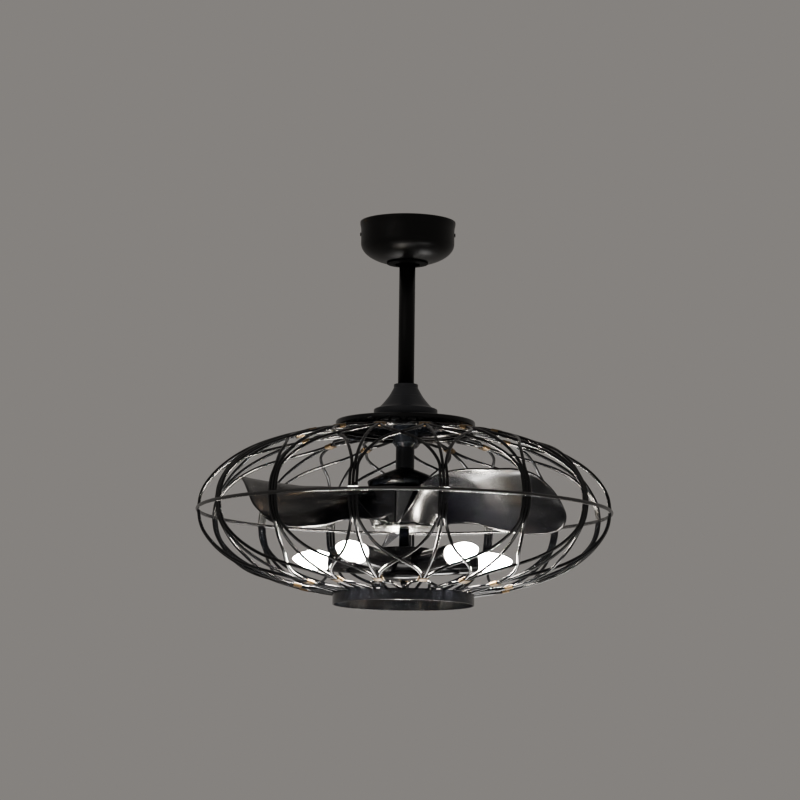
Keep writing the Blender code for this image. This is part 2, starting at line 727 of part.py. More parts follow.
def make_cage():
    """The upper half holds both its rings, and the lower half hangs between the ring and the band."""
    points = circle(RING_RADIUS, cage(0), RING_STEPS)
    upper = place("upper_cage", wires("middle_ring", [points], RING_TUBE, 1, closed=True), WIRE_PAINT)
    points = circle(TOP_RING_RADIUS, top_ring_height(), TOP_RING_STEPS)
    ring = wires("top_ring", [points], TOP_RING_TUBE, 1, closed=True)
    weld(upper, half_cage("upper", 1, ring), "upper_wires")
    top = wire_end_height(-1)
    profile = tube_profile(BAND_RADIUS, BAND_RADIUS - BAND_WALL, top, top - BAND_HEIGHT)
    lower = turned("lower_cage", profile, WIRE_PAINT, steps=BAND_STEPS, closed=True)
    weld(lower, half_cage("lower", -1, None), "lower_wires")


def half_cage(level, side, ring):
    """All wires of one half as one mesh of crossing pieces."""
    paths = []
    for i in range(CELL_COUNT):
        azimuth = CELL_PHASE + 360 * i / CELL_COUNT
        middle = azimuth + 180 / CELL_COUNT
        paths.append(meridian_points(azimuth, side))
        paths.append(cell_wire_points(middle, 1, side))
        paths.append(cell_wire_points(middle, -1, side))
    mesh = wires(level + "_wires", paths, WIRE_RADIUS, 0)
    bm = bmesh.new()
    bm.from_mesh(mesh)
    if ring:
        bm.from_mesh(ring)
    bm.to_mesh(mesh)
    bm.free()
    return mesh


def make_motor():
    """The fixed cap, shaft and stator, and round them the turning drum."""
    top = cage(MAST_BOTTOM) - GAP
    outline = [(SHAFT_RADIUS + GAP, top), (MAST_RADIUS, top),
               (CAP_RADIUS * CAP_CONE_SHARE, cage(CAP_CONE_HEIGHT)), (CAP_RADIUS, cage(CAP_SHOULDER)),
               (CAP_RADIUS * CAP_RIM_SHARE, cage(CAP_RIM_BOTTOM))]
    turned("motor_cap", outline, BLACK_PAINT, wall=CAP_WALL)
    top = plate_top() - PLATE_WALL - GAP
    turned("motor_shaft", tube_profile(SHAFT_RADIUS, SHAFT_BORE_RADIUS, top, cage(LOWER_MAST_BOTTOM)),
           GREY_STEEL, steps=MIDDLE_STEPS, closed=True)
    bore = SHAFT_RADIUS + GAP
    high = STATOR_MIDDLE + STATOR_HEIGHT / 2
    low = STATOR_MIDDLE - STATOR_HEIGHT / 2
    spool = bore + WINDING_WALL
    turned("stator_core", tube_profile(STATOR_RADIUS, spool + GAP, cage(high), cage(low)), GREY_STEEL,
           steps=MIDDLE_STEPS, closed=True)
    above = cage(high) + GAP
    below = cage(low) - GAP
    winding_top = above + WINDING_HEIGHT
    winding_bottom = below - WINDING_HEIGHT
    profile = [(WINDING_RADIUS, winding_top), (WINDING_RADIUS, above), (spool, above), (spool, below),
               (WINDING_RADIUS, below), (WINDING_RADIUS, winding_bottom), (bore, winding_bottom),
               (bore, winding_top)]
    turned("stator_winding", profile, COPPER, steps=MIDDLE_STEPS, closed=True)
    bearing = tube_profile(BEARING_RADIUS, bore, cage(BEARING_TOP), cage(BEARING_TOP - BEARING_HEIGHT))
    turned("upper_bearing", bearing, STEEL, steps=MIDDLE_STEPS, closed=True)
    lower = DRUM_BOTTOM - COLLAR_THICKNESS - GAP - GAP
    bearing = tube_profile(BEARING_RADIUS, bore, cage(lower + BEARING_HEIGHT), cage(lower))
    turned("lower_bearing", bearing, STEEL, steps=MIDDLE_STEPS, closed=True)
    make_drum(lower)


def make_drum(lower):
    """The drum is a cup with the upper bearing's seat, closed below by the end plate."""
    inside = DRUM_RADIUS - DRUM_WALL
    top = cage(BEARING_TOP)
    roof = top - BEARING_HEIGHT
    bottom = cage(DRUM_BOTTOM)
    seat = BEARING_RADIUS + GAP
    profile = [(seat, top), (inside, top), (DRUM_RADIUS, roof), (DRUM_RADIUS, bottom), (inside, bottom),
               (inside, roof), (seat, roof - GAP)]
    drum = turned("rotor_drum", profile, BLACK_PAINT, closed=True)
    magnet_top = cage(STATOR_MIDDLE + MAGNET_HEIGHT / 2)
    profile = tube_profile(inside - GAP, inside - MAGNET_WALL, magnet_top, magnet_top - MAGNET_HEIGHT)
    turned("rotor_magnet_ring", profile, GREY_STEEL, closed=True)
    face = cage(lower)
    low_face = face - END_PLATE_THICKNESS
    cup = seat + END_PLATE_THICKNESS
    cup_top = face + BEARING_HEIGHT
    hole = SHAFT_RADIUS + END_PLATE_THICKNESS
    profile = [(seat, cup_top), (cup, cup_top), (cup, face), (END_PLATE_RADIUS, face),
               (END_PLATE_RADIUS, low_face), (hole, low_face), (hole, face - GAP), (seat, face - GAP)]
    plate = turned("rotor_end_plate", profile, BLACK_PAINT, closed=True)
    length = END_PLATE_THICKNESS + COLLAR_THICKNESS + END_SCREW_DEPTH
    places = []
    for i in range(BLADE_COUNT):
        for step in END_SCREW_STEPS:
            azimuth = BLADE_PHASE + 360 * i / BLADE_COUNT + step
            places.append((spot(END_SCREW_CIRCLE, azimuth, low_face - GAP), (0, 0, 1), length))
    holes = headed_screws("end_plate_screw", places, STEEL, END_SCREW_RADIUS, END_SCREW_HEAD_RADIUS,
                          END_SCREW_HEAD_HEIGHT)
    cut(drum, holes)
    cut(plate, holes)
    make_blades(holes)


def smooth(points, share):
    """A point on a smooth curve through evenly numbered points."""
    last = len(points) - 1
    place_on = min(max(share, 0.0), 1.0) * last
    index = min(int(place_on), last - 1)
    t = place_on - index
    before = points[max(index - 1, 0)]
    start = points[index]
    end = points[index + 1]
    after = points[min(index + 2, last)]
    result = []
    for a, b, c, d in zip(before, start, end, after):
        result.append(b + (c - a) * t / 2 + (2 * a - 5 * b + 4 * c - d) * t ** 2 / 2
                      + (3 * b - a - 3 * c + d) * t ** 3 / 2)
    return result


def blade_point(along, across):
    """The blade's middle surface: radius share, azimuth and depth share from its four edges."""
    high = smooth(HIGH_EDGE_SHARES, along)
    low = smooth(LOW_EDGE_SHARES, along)
    tip = smooth(TIP_SHARES, across)
    root = []
    for a, b in zip(HIGH_EDGE_SHARES[0], LOW_EDGE_SHARES[0]):
        root.append(a + (b - a) * across)
    bend = CAMBER_SHARE * across + (1 - CAMBER_SHARE) * across ** 2
    root[2] = HIGH_EDGE_SHARES[0][2] + (LOW_EDGE_SHARES[0][2] - HIGH_EDGE_SHARES[0][2]) * bend
    point = []
    for k in range(3):
        ruled = (1 - across) * high[k] + across * low[k] + (1 - along) * root[k] + along * tip[k]
        root_corners = (1 - across) * HIGH_EDGE_SHARES[0][k] + across * LOW_EDGE_SHARES[0][k]
        tip_corners = (1 - across) * TIP_SHARES[0][k] + across * TIP_SHARES[-1][k]
        point.append(ruled - (1 - along) * root_corners - along * tip_corners)
    return point


def collar_middle():
    return DRUM_RADIUS + COLLAR_CLEARANCE + COLLAR_THICKNESS / 2


def make_blades(holes):
    for i in range(BLADE_COUNT):
        turn = BLADE_PHASE + 360 * i / BLADE_COUNT
        blade = sheet("blade_%d" % (i + 1), collar_rows(turn), COLLAR_THICKNESS, BLACK_PLASTIC)
        wing = sheet("wing_%d" % (i + 1), wing_rows(turn), BLADE_THICKNESS, None, CUTTERS)
        cut(blade, wing, "UNION")
        cut(blade, holes)


def collar_rows(turn):
    """The collar wraps the drum, with a flange under it that the end plate clamps."""
    middle = collar_middle()
    low = DRUM_BOTTOM - GAP - COLLAR_THICKNESS / 2
    rows = []
    for radius, height, share in ((middle, COLLAR_TOP, 1.0), (middle, (COLLAR_TOP + low) / 2, 0.5),
                                  (middle, low, 0.0), (middle - COLLAR_FLANGE, low, 0.0)):
        lead = COLLAR_LEAD_LOW + (COLLAR_LEAD_HIGH - COLLAR_LEAD_LOW) * share
        row = []
        for j in range(COLLAR_COLUMNS + 1):
            azimuth = turn + lead + (COLLAR_SEAM - lead) * j / COLLAR_COLUMNS
            row.append(spot(radius, azimuth, cage(height)))
        rows.append(row)
    return rows


def wing_rows(turn):
    rows = []
    for i in range(BLADE_ROWS + 1):
        row = []
        for j in range(BLADE_COLUMNS + 1):
            reach, azimuth, depth = blade_point(i / BLADE_ROWS, j / BLADE_COLUMNS)
            radius = collar_middle() + (BLADE_REACH - collar_middle()) * reach
            row.append(spot(radius, turn + azimuth, cage(BLADE_MIDDLE + BLADE_DEPTH * depth)))
        rows.append(row)
    return rows


def sheet(name, rows, thickness, colour, collection=None):
    """A grid of points made a closed sheet of even thickness round its middle surface."""
    mesh = bpy.data.meshes.new(name)
    bm = bmesh.new()
    grid = [[bm.verts.new(point) for point in row] for row in rows]
    for upper, lower in zip(grid[:-1], grid[1:]):
        for j in range(len(upper) - 1):
            bm.faces.new((upper[j], upper[j + 1], lower[j + 1], lower[j]))
    bm.to_mesh(mesh)
    bm.free()
    mesh.shade_smooth()
    obj = place(name, mesh, colour, collection)
    solid = obj.modifiers.new("Thickness", "SOLIDIFY")
    solid.thickness = thickness
    solid.offset = 0
    solid.use_even_offset = True
    return obj


def make_light_kit():
    """The hub hangs on the shaft's end, and five lamp holders stand round it."""
    split = cage(HUB_WALL_BOTTOM + HUB_SPLIT)
    seat = SHAFT_RADIUS + GAP
    outline = [(seat, cage(HUB_TOP)), (HUB_RADIUS, cage(HUB_TOP)), (HUB_RADIUS, split)]
    turned("light_hub", outline, BLACK_PAINT, wall=HUB_WALL)
    nut_top = cage(HUB_TOP) - HUB_WALL - GAP
    turned("hub_nut", tube_profile(HUB_NUT_RADIUS, seat, nut_top, nut_top - HUB_NUT_HEIGHT), STEEL,
           steps=SCREW_STEPS, closed=True)
    bowl_top = split - GAP - HUB_SPLIT
    depth = bowl_top - cage(HUB_BOTTOM)
    outline = [(HUB_RADIUS, split - GAP), (HUB_RADIUS, bowl_top)]
    for i in range(1, BOWL_COUNT):
        angle = math.pi / 2 * i / BOWL_COUNT
        round_share = math.cos(angle) ** BOWL_POWER
        fall_share = math.sin(angle) ** BOWL_POWER
        outline.append((HUB_RADIUS * round_share, bowl_top - depth * fall_share))
    hole = FINIAL_RADIUS * FINIAL_HOLE_SHARE
    outline.append((hole, cage(HUB_BOTTOM)))
    turned("light_hub_bowl", outline, BLACK_PAINT, wall=HUB_WALL)
    low = cage(HUB_BOTTOM) - GAP
    stem = hole - GAP
    stem_top = cage(LOWER_MAST_BOTTOM) - GAP
    profile = [(0, stem_top), (stem, stem_top), (stem, low), (FINIAL_RADIUS, low),
               (FINIAL_RADIUS, low - FINIAL_HEIGHT / 2), (FINIAL_RADIUS / 2, low - FINIAL_HEIGHT),
               (0, low - FINIAL_HEIGHT)]
    turned("finial", profile, BLACK_PAINT, steps=SMALL_STEPS)
    profile = disc_profile(HUB_RADIUS + GAP, cage(0), cage(-CAGE_HALF_HEIGHT))
    hub_cutter = turned("holder_back_cut", profile, None, collection=CUTTERS)
    for i in range(LAMP_COUNT):
        make_lamp(i, hub_cutter)


def lamp_matrix(number):
    """The lamp's axis along local Z, from the fan's axis outward and a little up."""
    azimuth = LAMP_PHASE + 360 * number / LAMP_COUNT
    tilt = math.radians(LAMP_TILT)
    drop = HOLDER_MIDDLE_DROP - HOLDER_MIDDLE_REACH * math.tan(tilt)
    return (Matrix.Translation((0, 0, cage(drop))) @ heading(azimuth)
            @ Matrix.Rotation(math.pi / 2 - tilt, 4, "X"))


def make_lamp(number, hub_cutter):
    """A holder shell, the socket in it and a screwed-in bulb, all on one tilted axis."""
    matrix = lamp_matrix(number)
    stretch = 1 / math.cos(math.radians(LAMP_TILT))
    end = HOLDER_REACH * stretch
    socket_end = end - SOCKET_INSET
    socket_back = socket_end - SOCKET_DEPTH - SOCKET_FLOOR
    suffix = "_%d" % (number + 1)
    bore = HOLDER_RADIUS - HOLDER_WALL
    holder = turned("lamp_holder" + suffix, [
        (0, socket_back - GAP), (bore, socket_back - GAP), (bore, end), (HOLDER_RADIUS, end),
        (HOLDER_RADIUS, 0), (0, 0)], BLACK_PLASTIC, steps=MIDDLE_STEPS)
    holder.matrix_world = matrix
    cut(holder, hub_cutter)
    socket = turned("bulb_socket" + suffix, [
        (0, socket_end - SOCKET_DEPTH), (SOCKET_BORE_RADIUS, socket_end - SOCKET_DEPTH),
        (SOCKET_BORE_RADIUS, socket_end), (SOCKET_RADIUS, socket_end), (SOCKET_RADIUS, socket_back),
        (0, socket_back)], WHITE_CERAMIC, steps=SMALL_STEPS)
    socket.matrix_world = matrix
    glass_start = socket_end + GAP
    tip = BULB_REACH * stretch
    base_start = glass_start - BULB_BASE_LENGTH
    outline = [(0, tip)]
    for along, wide in reversed(BULB_SHARES):
        outline.append((BULB_RADIUS * wide, glass_start + (tip - glass_start) * along))
    outline += [(BULB_BASE_RADIUS, glass_start), (BULB_BASE_RADIUS, base_start), (0, base_start)]
    bulb = turned("bulb" + suffix, outline, CLEAR_GLASS, steps=SMALL_STEPS)
    bulb.matrix_world = matrix


def make_receiver():
    """The remote control's receiver is stuck under the bracket's plate, above the ball."""
    drop = BRACKET_THICKNESS + GAP + RECEIVER_HEIGHT / 2
    size = (RECEIVER_LENGTH, RECEIVER_WIDTH, RECEIVER_HEIGHT)
    block("remote_receiver", size, (0, 0, -drop), BLACK_PLASTIC)


def build():
    bracket = make_bracket()
    outline, holes = make_canopy()
    cut(bracket, holes)
    make_trim_ring(outline)
    make_receiver()
    ball_pin_hole = make_ball()
    pin_hole, pin_height = make_rod(ball_pin_hole)
    coupling = make_coupling(pin_hole, pin_height)
    make_coupling_cover()
    make_top_plate(coupling)
    make_cage()
    make_motor()
    make_light_kit()


clear_scene()
PARTS = new_collection("ceiling_fan")
CUTTERS = new_collection("cutters")
build()
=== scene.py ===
"""Looks for the caged ceiling fan: smooth wire cage, moulded blades, painted metal and lit bulbs.

Metres, +Z up, in the CAD model's frame: the origin is on the ceiling, the viewer is towards -Y.
Azimuths are in degrees from -Y towards +X. cage() takes heights from the middle ring's plane.
"""
import math

import bmesh
import bpy
from mathutils import Matrix, Vector


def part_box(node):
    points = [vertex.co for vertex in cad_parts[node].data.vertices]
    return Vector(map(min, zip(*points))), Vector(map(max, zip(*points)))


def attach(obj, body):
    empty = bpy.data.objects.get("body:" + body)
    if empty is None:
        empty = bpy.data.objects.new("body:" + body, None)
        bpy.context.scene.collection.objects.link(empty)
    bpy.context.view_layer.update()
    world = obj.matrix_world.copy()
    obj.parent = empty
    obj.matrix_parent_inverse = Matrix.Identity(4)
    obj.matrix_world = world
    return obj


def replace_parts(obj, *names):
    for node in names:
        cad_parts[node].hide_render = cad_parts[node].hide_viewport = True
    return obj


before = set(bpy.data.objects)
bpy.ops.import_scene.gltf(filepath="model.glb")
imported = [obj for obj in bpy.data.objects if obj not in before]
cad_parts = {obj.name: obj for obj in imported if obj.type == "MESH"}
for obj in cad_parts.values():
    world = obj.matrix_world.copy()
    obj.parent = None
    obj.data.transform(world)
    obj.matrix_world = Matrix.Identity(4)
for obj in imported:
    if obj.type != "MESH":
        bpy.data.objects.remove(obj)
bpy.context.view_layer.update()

# Fineness, and the gap between pieces that would touch
LATHE_STEPS = 96
WIDE_LATHE_STEPS = 128
SMALL_LATHE_STEPS = 40
LATHE_BEVEL_STEPS = 2
LATHE_SHARP_ANGLE = 35
SHEET_BEVEL_STEPS = 4
SHARP_ANGLE = 50
MERGE_DISTANCE = 0.00001
WIRE_BEVEL_STEPS = 3
WIRE_POINTS = 40
RING_POINTS = 180
GAP = 0.0003

# Cage of round wire, the same sizes and shares as the CAD model's, but for a thinner middle ring
CAGE_DROP = 0.461
CAGE_HALF_HEIGHT = 0.1340
CAGE_POWER = 2.12
CAGE_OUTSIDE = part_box("upper_cage")[1].x
WIRE_RADIUS = 0.0024
WIRE_PITCH = 0.0053
WIRE_CROSSING = 0.0027
CAD_RING_TUBE = 0.00335
CAGE_REACH = CAGE_OUTSIDE - CAD_RING_TUBE - WIRE_RADIUS / 2
RING_TUBE = 0.0028
RING_RADIUS = CAGE_OUTSIDE - RING_TUBE
CELL_COUNT = 15
CELL_PHASE = 10.3
PLATE_BOTTOM, PLATE_TOP = (corner.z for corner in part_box("cage_top_plate"))
TOP_RING_RADIUS = 0.1087
TOP_RING_TUBE = 0.00325
TOP_RING_HEIGHT = PLATE_BOTTOM - GAP - TOP_RING_TUBE
BAND_RADIUS = 0.1105
BAND_HEIGHT = 0.0180
BAND_WALL = 0.0020
BAND_EDGE = 0.0006
JUNCTION_RADIUS = 0.1650
RETURN_RADIUS_SHARE = 0.62
RETURN_CELL_SHARE = 0.55
# Shares of the cage's half height
MERIDIAN_SHARES = (0.17, 0.34, 0.50, 0.64, 0.76)
# Share of the half height, share of the half cell, pitches beside it, crossings lifted
CELL_WIRE_START = (-1, 1, 0)
CELL_WIRE_SHARES = (
    (0.17, -1, 1, 0),
    (0.31, -1, 1, 0),
    (0.47, -0.79, 0.3, 0.2),
    (0.61, -0.48, 0, 0.8),
    (0.71, 0, 0, 1),
    (0.79, 0.53, 0, 0.5),
)

# Brass sleeves: share of the length, share of the wall
SLEEVE_LENGTH = 0.0130
SLEEVE_WALL = 0.0007
SLEEVE_PLAY = 0.00005
SLEEVE_ARC_STEPS = 6
SLEEVE_STATIONS = (
    (-0.50, 0.0),
    (-0.46, 1.0),
    (-0.12, 1.0),
    (0.00, 0.75),
    (0.12, 1.0),
    (0.46, 1.0),
    (0.50, 0.0),
)

# Blades, the same sizes and shares as the CAD model's
BLADE_COUNT = 3
BLADE_REACH = 0.2720
BLADE_DEPTH = 0.0880
BLADE_MIDDLE = 0.0020
BLADE_THICKNESS = 0.0026
BLADE_EDGE = 0.0011
BLADE_ROWS = 56
BLADE_COLUMNS = 48
CAMBER_SHARE = 0.3
NORMAL_STEP = 0.01
COLLAR_RADIUS = 0.0493
COLLAR_THICKNESS = 0.0024
COLLAR_EDGE = 0.0007
COLLAR_TOP = 0.0375
COLLAR_BOTTOM = -0.0225
COLLAR_LEAD_LOW = -10.0
COLLAR_LEAD_HIGH = 20.0
COLLAR_SEAM = 103.0
COLLAR_COLUMNS = 72
COLLAR_ROWS = 10
SWEEP_STEPS = 24
SWEEP_REACH = 0.0340
SWEEP_SHARE = SWEEP_REACH / (BLADE_REACH - COLLAR_RADIUS)
SWEEP_SLOPE_STEP = 0.02
SWEEP_RISE = 0.0260
SWEEP_THICKNESS = 0.0014
SWEEP_LEAN = 0.0130
SWEEP_KNEE = 0.0200
SWEEP_SINK = 0.00004
SWEEP_PULL = 2 / 3
RIM_RADIUS = 0.0017
RIM_STEPS = 60
# Share of the reach, azimuth, share of the depth
HIGH_EDGE_SHARES = (
    (0.00, 22.0, 0.385),
    (0.14, 20.5, 0.405),
    (0.32, 19.5, 0.43),
    (0.48, 18.4, 0.445),
    (0.62, 21.8, 0.478),
    (0.73, 26.5, 0.495),
    (0.82, 33.0, 0.49),
)
LOW_EDGE_SHARES = (
    (0.00, 94.0, -0.265),
    (0.14, 80.0, -0.215),
    (0.32, 72.3, -0.255),
    (0.48, 71.2, -0.37),
    (0.62, 70.8, -0.43),
    (0.73, 70.6, -0.46),
    (0.85, 69.5, -0.455),
)
TIP_SHARES = (
    (0.82, 33.0, 0.49),
    (0.915, 40.5, 0.50),
    (0.955, 47.5, 0.445),
    (0.970, 53.2, 0.315),
    (0.988, 58.1, 0.145),
    (1.000, 62.6, -0.075),
    (0.988, 66.0, -0.23),
    (0.940, 68.2, -0.385),
    (0.85, 69.5, -0.455),
)

# Canopy and the ring round its hole
CANOPY_RADIUS = 0.0738
CANOPY_FLARE = 0.0016
CANOPY_FLARE_TOP = 0.0040
CANOPY_FLARE_BOTTOM = 0.0110
CANOPY_FLARE_ROUNDING = 0.0035
CANOPY_HEIGHT = 0.0682
CANOPY_WALL_HEIGHT = 0.0340
CANOPY_WALL = 0.0012
CANOPY_HOLE_RADIUS = 0.0215
CANOPY_ROUND_POWER = 2.1
CANOPY_ROUND_END = 60.0
CANOPY_ROUND_STEPS = 24
TRIM_RADIUS = 0.0325
TRIM_HOLE_RADIUS = 0.0195
TRIM_THICKNESS = 0.0022
TRIM_ROUNDING = 0.0007

# Rod, cover, pan and mast. Cover: share of the way out from the collar, share of the height
ROD_RADIUS = 0.0127
ROD_WALL = 0.0020
COVER_BASE_RADIUS = 0.0500
COVER_COLLAR_RADIUS = 0.0190
COVER_HEIGHT = 0.0586
COVER_WALL = 0.0012
COVER_STEPS = 24
COVER_ROUNDING = 0.0012
COVER_SHARES = (
    (0, 1),
    (0, 0.905),
    (0.174, 0.734),
    (0.374, 0.58),
    (0.70, 0.385),
    (0.92, 0.33),
    (1, 0.31),
)
PLATE_RADIUS = 0.1095
PLATE_WALL = 0.0016
PLATE_ROUNDING = 0.0030
MAST_RADIUS = 0.0145
MAST_FLANGE_HEIGHT = 0.0040
MAST_COLLAR_RADIUS = 0.0195
MAST_COLLAR_BOTTOM = 0.1080
MAST_COLLAR_SLOPE = 0.0060
MAST_ROUNDING = 0.0006

# Motor
CAP_RADIUS = 0.0590
CAP_TOP = 0.0680
CAP_CONE_SHARE = 0.64
CAP_CONE_HEIGHT = 0.0585
CAP_SHOULDER = 0.0475
CAP_RIM_SHARE = 0.955
CAP_RIM_BOTTOM = 0.0385
CAP_WALL = 0.0013
CAP_ROUNDING = 0.0022
SHAFT_RADIUS = 0.0080
SHAFT_BORE_RADIUS = 0.0050
SHAFT_SEAT_RADIUS = SHAFT_RADIUS + GAP
DRUM_RADIUS = 0.0470
DRUM_WALL = 0.0080
DRUM_ROOF = 0.033
DRUM_EDGE = 0.0005
BEARING_SEAT_RADIUS = 0.0158
END_PLATE_RADIUS = 0.0465
END_PLATE_THICKNESS = 0.0025
END_PLATE_EDGE = 0.0004

# Hub, bowl and end knob of the light kit
HUB_RADIUS = 0.0410
HUB_WALL = 0.0014
HUB_ROUNDING = 0.0020
BOWL_POWER = 0.62
BOWL_RIM = 0.003
BOWL_STEPS = 20
FINIAL_RADIUS = 0.0050
FINIAL_STEM_SHARE = 0.6
FINIAL_DISC_TOP = 0.008
FINIAL_DISC_BOTTOM = 0.004
FINIAL_END_SHARE = 0.5
FINIAL_ROUNDING = 0.001

# Lamps. Bulb: share of the glass's length, share of its radius
LAMP_COUNT = 5
LAMP_PHASE = 38.0
LAMP_TILT = 5.0
HOLDER_RADIUS = 0.0165
HOLDER_WALL = 0.0014
HOLDER_REACH = 0.1200
HOLDER_MIDDLE_REACH = 0.0950
HOLDER_MIDDLE_DROP = -0.0770
HOLDER_BACK_SHARE = 0.985
HOLDER_ROUNDING = 0.0006
SOCKET_RADIUS = 0.0148
SOCKET_DEPTH = 0.0260
SOCKET_BORE_RADIUS = 0.0128
SOCKET_INSET = 0.0030
SOCKET_FLOOR = 0.0040
BULB_RADIUS = 0.0150
BULB_REACH = 0.1820
BULB_STEPS = 30
BULB_SHARES = (
    (0.00, 0.78),
    (0.10, 0.80),
    (0.28, 0.98),
    (0.42, 1.0),
    (0.60, 0.90),
    (0.80, 0.60),
    (0.94, 0.26),
)
GLASS_WALL = 0.0006
BULB_BASE_RADIUS = 0.0122
BULB_BASE_LENGTH = 0.0240
BULB_CONTACT_SHARE = 0.5
THREAD_TURNS = 5
THREAD_STEPS = 4
THREAD_DEPTH = 0.0004
THREAD_START = 0.002
THREAD_LENGTH = 0.018
# Filament strands: share of the glass's length, distance from its axis
STRAND_COUNT = 4
STRAND_RADIUS = 0.0011
STRAND_BEVEL_STEPS = 2
STRAND_SPOTS = ((0.24, 0.0035), (0.48, 0.0055), (0.70, 0.0030))

# Stage and light
FLOOR_SIZE = 24
FLOOR_HEIGHT = -5.8
FLOOR_COLOUR = (0.72, 0.71, 0.69, 1.0)
FLOOR_ROUGH = 0.9
WORLD_COLOUR = (0.60, 0.565, 0.53, 1.0)
WORLD_STRENGTH = 0.40
WARM_WHITE = (1.0, 0.97, 0.93)
SOFT_WHITE = (1.0, 0.98, 0.95)
BULB_STRENGTH = 190.0
FILAMENT_STRENGTH = 230.0

# Camera: the photograph's view, five metres off and a little below the cage
CAMERA_DISTANCE = 5.0
CAMERA_ELEVATION = -6.28
CAMERA_ROLL = 0.7
CAMERA_LENS = 144.0
SENSOR_WIDTH = 36.0
PICTURE_SIZE = 800
RING_PIXEL = (404.4, 512.3)


def heading(azimuth):
    return Matrix.Rotation(math.radians(azimuth), 4, "Z")


def spot(radius, azimuth, height, side=0.0):
    return heading(azimuth) @ Vector((side, -radius, height))


def cage(height):
    return height - CAGE_DROP


def link(name, data):
    obj = bpy.data.objects.new(name, data)
    bpy.context.scene.collection.objects.link(obj)
    return obj


def paint(obj, material):
    obj.data.materials.clear()
    obj.data.materials.append(material)


# Materials

def new_material(name):
    material = bpy.data.materials.new(name)
    material.use_nodes = True
    return material, material.node_tree.nodes["Principled BSDF"]


def soft_noise(tree, scale, detail):
    """Noise over the object's own coordinates."""
    place = tree.nodes.new("ShaderNodeTexCoord")
    noise = tree.nodes.new("ShaderNodeTexNoise")
    noise.inputs["Scale"].default_value = scale
    noise.inputs["Detail"].default_value = detail
    tree.links.new(place.outputs["Object"], noise.inputs["Vector"])
    return noise.outputs["Fac"]


def vary(tree, shader, noise, dull, duller, colour, shade):
    """Noise that moves the roughness between two values and the colour towards a shade of it."""
    gloss = tree.nodes.new("ShaderNodeMapRange")
    gloss.inputs["To Min"].default_value = dull
    gloss.inputs["To Max"].default_value = duller
    tree.links.new(noise, gloss.inputs["Value"])
    tree.links.new(gloss.outputs["Result"], shader.inputs["Roughness"])
    mix = tree.nodes.new("ShaderNodeMix")
    mix.data_type = "RGBA"
    mix.inputs["A"].default_value = (*colour, 1.0)
    mix.inputs["B"].default_value = (*[c * shade for c in colour], 1.0)
    tree.links.new(noise, mix.inputs["Factor"])
    tree.links.new(mix.outputs["Result"], shader.inputs["Base Color"])


def powder_coat(name, colour, rough, shine, grain=900.0, depth=0.05):
    """Baked paint: a fine pebbled bump, and a slow change of gloss and shade over the surface."""
    material, shader = new_material(name)
    tree = material.node_tree
    shader.inputs["Specular IOR Level"].default_value = shine
    bump = tree.nodes.new("ShaderNodeBump")
    bump.inputs["Strength"].default_value = depth
    bump.inputs["Distance"].default_value = 0.0002
    tree.links.new(soft_noise(tree, scale=grain, detail=4.0), bump.inputs["Height"])
    tree.links.new(bump.outputs["Normal"], shader.inputs["Normal"])
    broad = soft_noise(tree, scale=14.0, detail=3.0)
    vary(tree, shader, broad, rough - 0.06, rough + 0.08, colour, shade=1.5)
    return material


def moulded_plastic(name, colour, rough, shine=0.5):
    """Smooth moulded plastic with faint flow marks in its gloss and shade."""
    material, shader = new_material(name)
    tree = material.node_tree
    shader.inputs["Specular IOR Level"].default_value = shine
    flow = soft_noise(tree, scale=6.0, detail=2.0)
    vary(tree, shader, flow, rough - 0.04, rough + 0.04, colour, shade=1.4)
    return material


def plated_metal(name, colour, rough):
    """Bright metal with fine drawn marks."""
    material, shader = new_material(name)
    tree = material.node_tree
    shader.inputs["Metallic"].default_value = 1.0
    marks = soft_noise(tree, scale=400.0, detail=3.0)
    vary(tree, shader, marks, rough - 0.08, rough + 0.12, colour, shade=0.75)
    return material


def clear_glass(name):
    """Thin clear glass that gives out the lit bulb's light."""
    material, shader = new_material(name)
    shader.inputs["Base Color"].default_value = (1.0, 0.98, 0.94, 1.0)
    shader.inputs["Roughness"].default_value = 0.02
    shader.inputs["Transmission Weight"].default_value = 1.0
    shader.inputs["IOR"].default_value = 1.45
    shader.inputs["Emission Color"].default_value = (1.0, 0.93, 0.84, 1.0)
    shader.inputs["Emission Strength"].default_value = BULB_STRENGTH
    return material


def hot_filament(name):
    material, shader = new_material(name)
    shader.inputs["Base Color"].default_value = (1.0, 0.75, 0.45, 1.0)
    shader.inputs["Emission Color"].default_value = (1.0, 0.82, 0.60, 1.0)
    shader.inputs["Emission Strength"].default_value = FILAMENT_STRENGTH
    return material


BLACK_PAINT = powder_coat("matte_black_paint", (0.0026, 0.0026, 0.0027), 0.34, shine=0.18,
                          depth=0.12)
# Painted glare: a lighter blue-grey base over the same black paint as the canopy stands in for
# glare haze around the lit bulbs.
COVER_PAINT_AND_GLARE = powder_coat("matte_cover_paint_and_painted_glare", (0.0330, 0.0350, 0.0400), 0.34, shine=0.20,
                          depth=0.12)
# Painted glare: a lighter navy base over the black paint stands in for glare haze around the lit
# bulbs.
MAST_PAINT_AND_GLARE = powder_coat("satin_mast_paint_and_painted_glare", (0.0080, 0.0100, 0.0140), 0.22, shine=0.26)
TRIM_BLACK = powder_coat("dull_trim_black", (0.0040, 0.0040, 0.0041), 0.60, shine=0.03, depth=0.12)
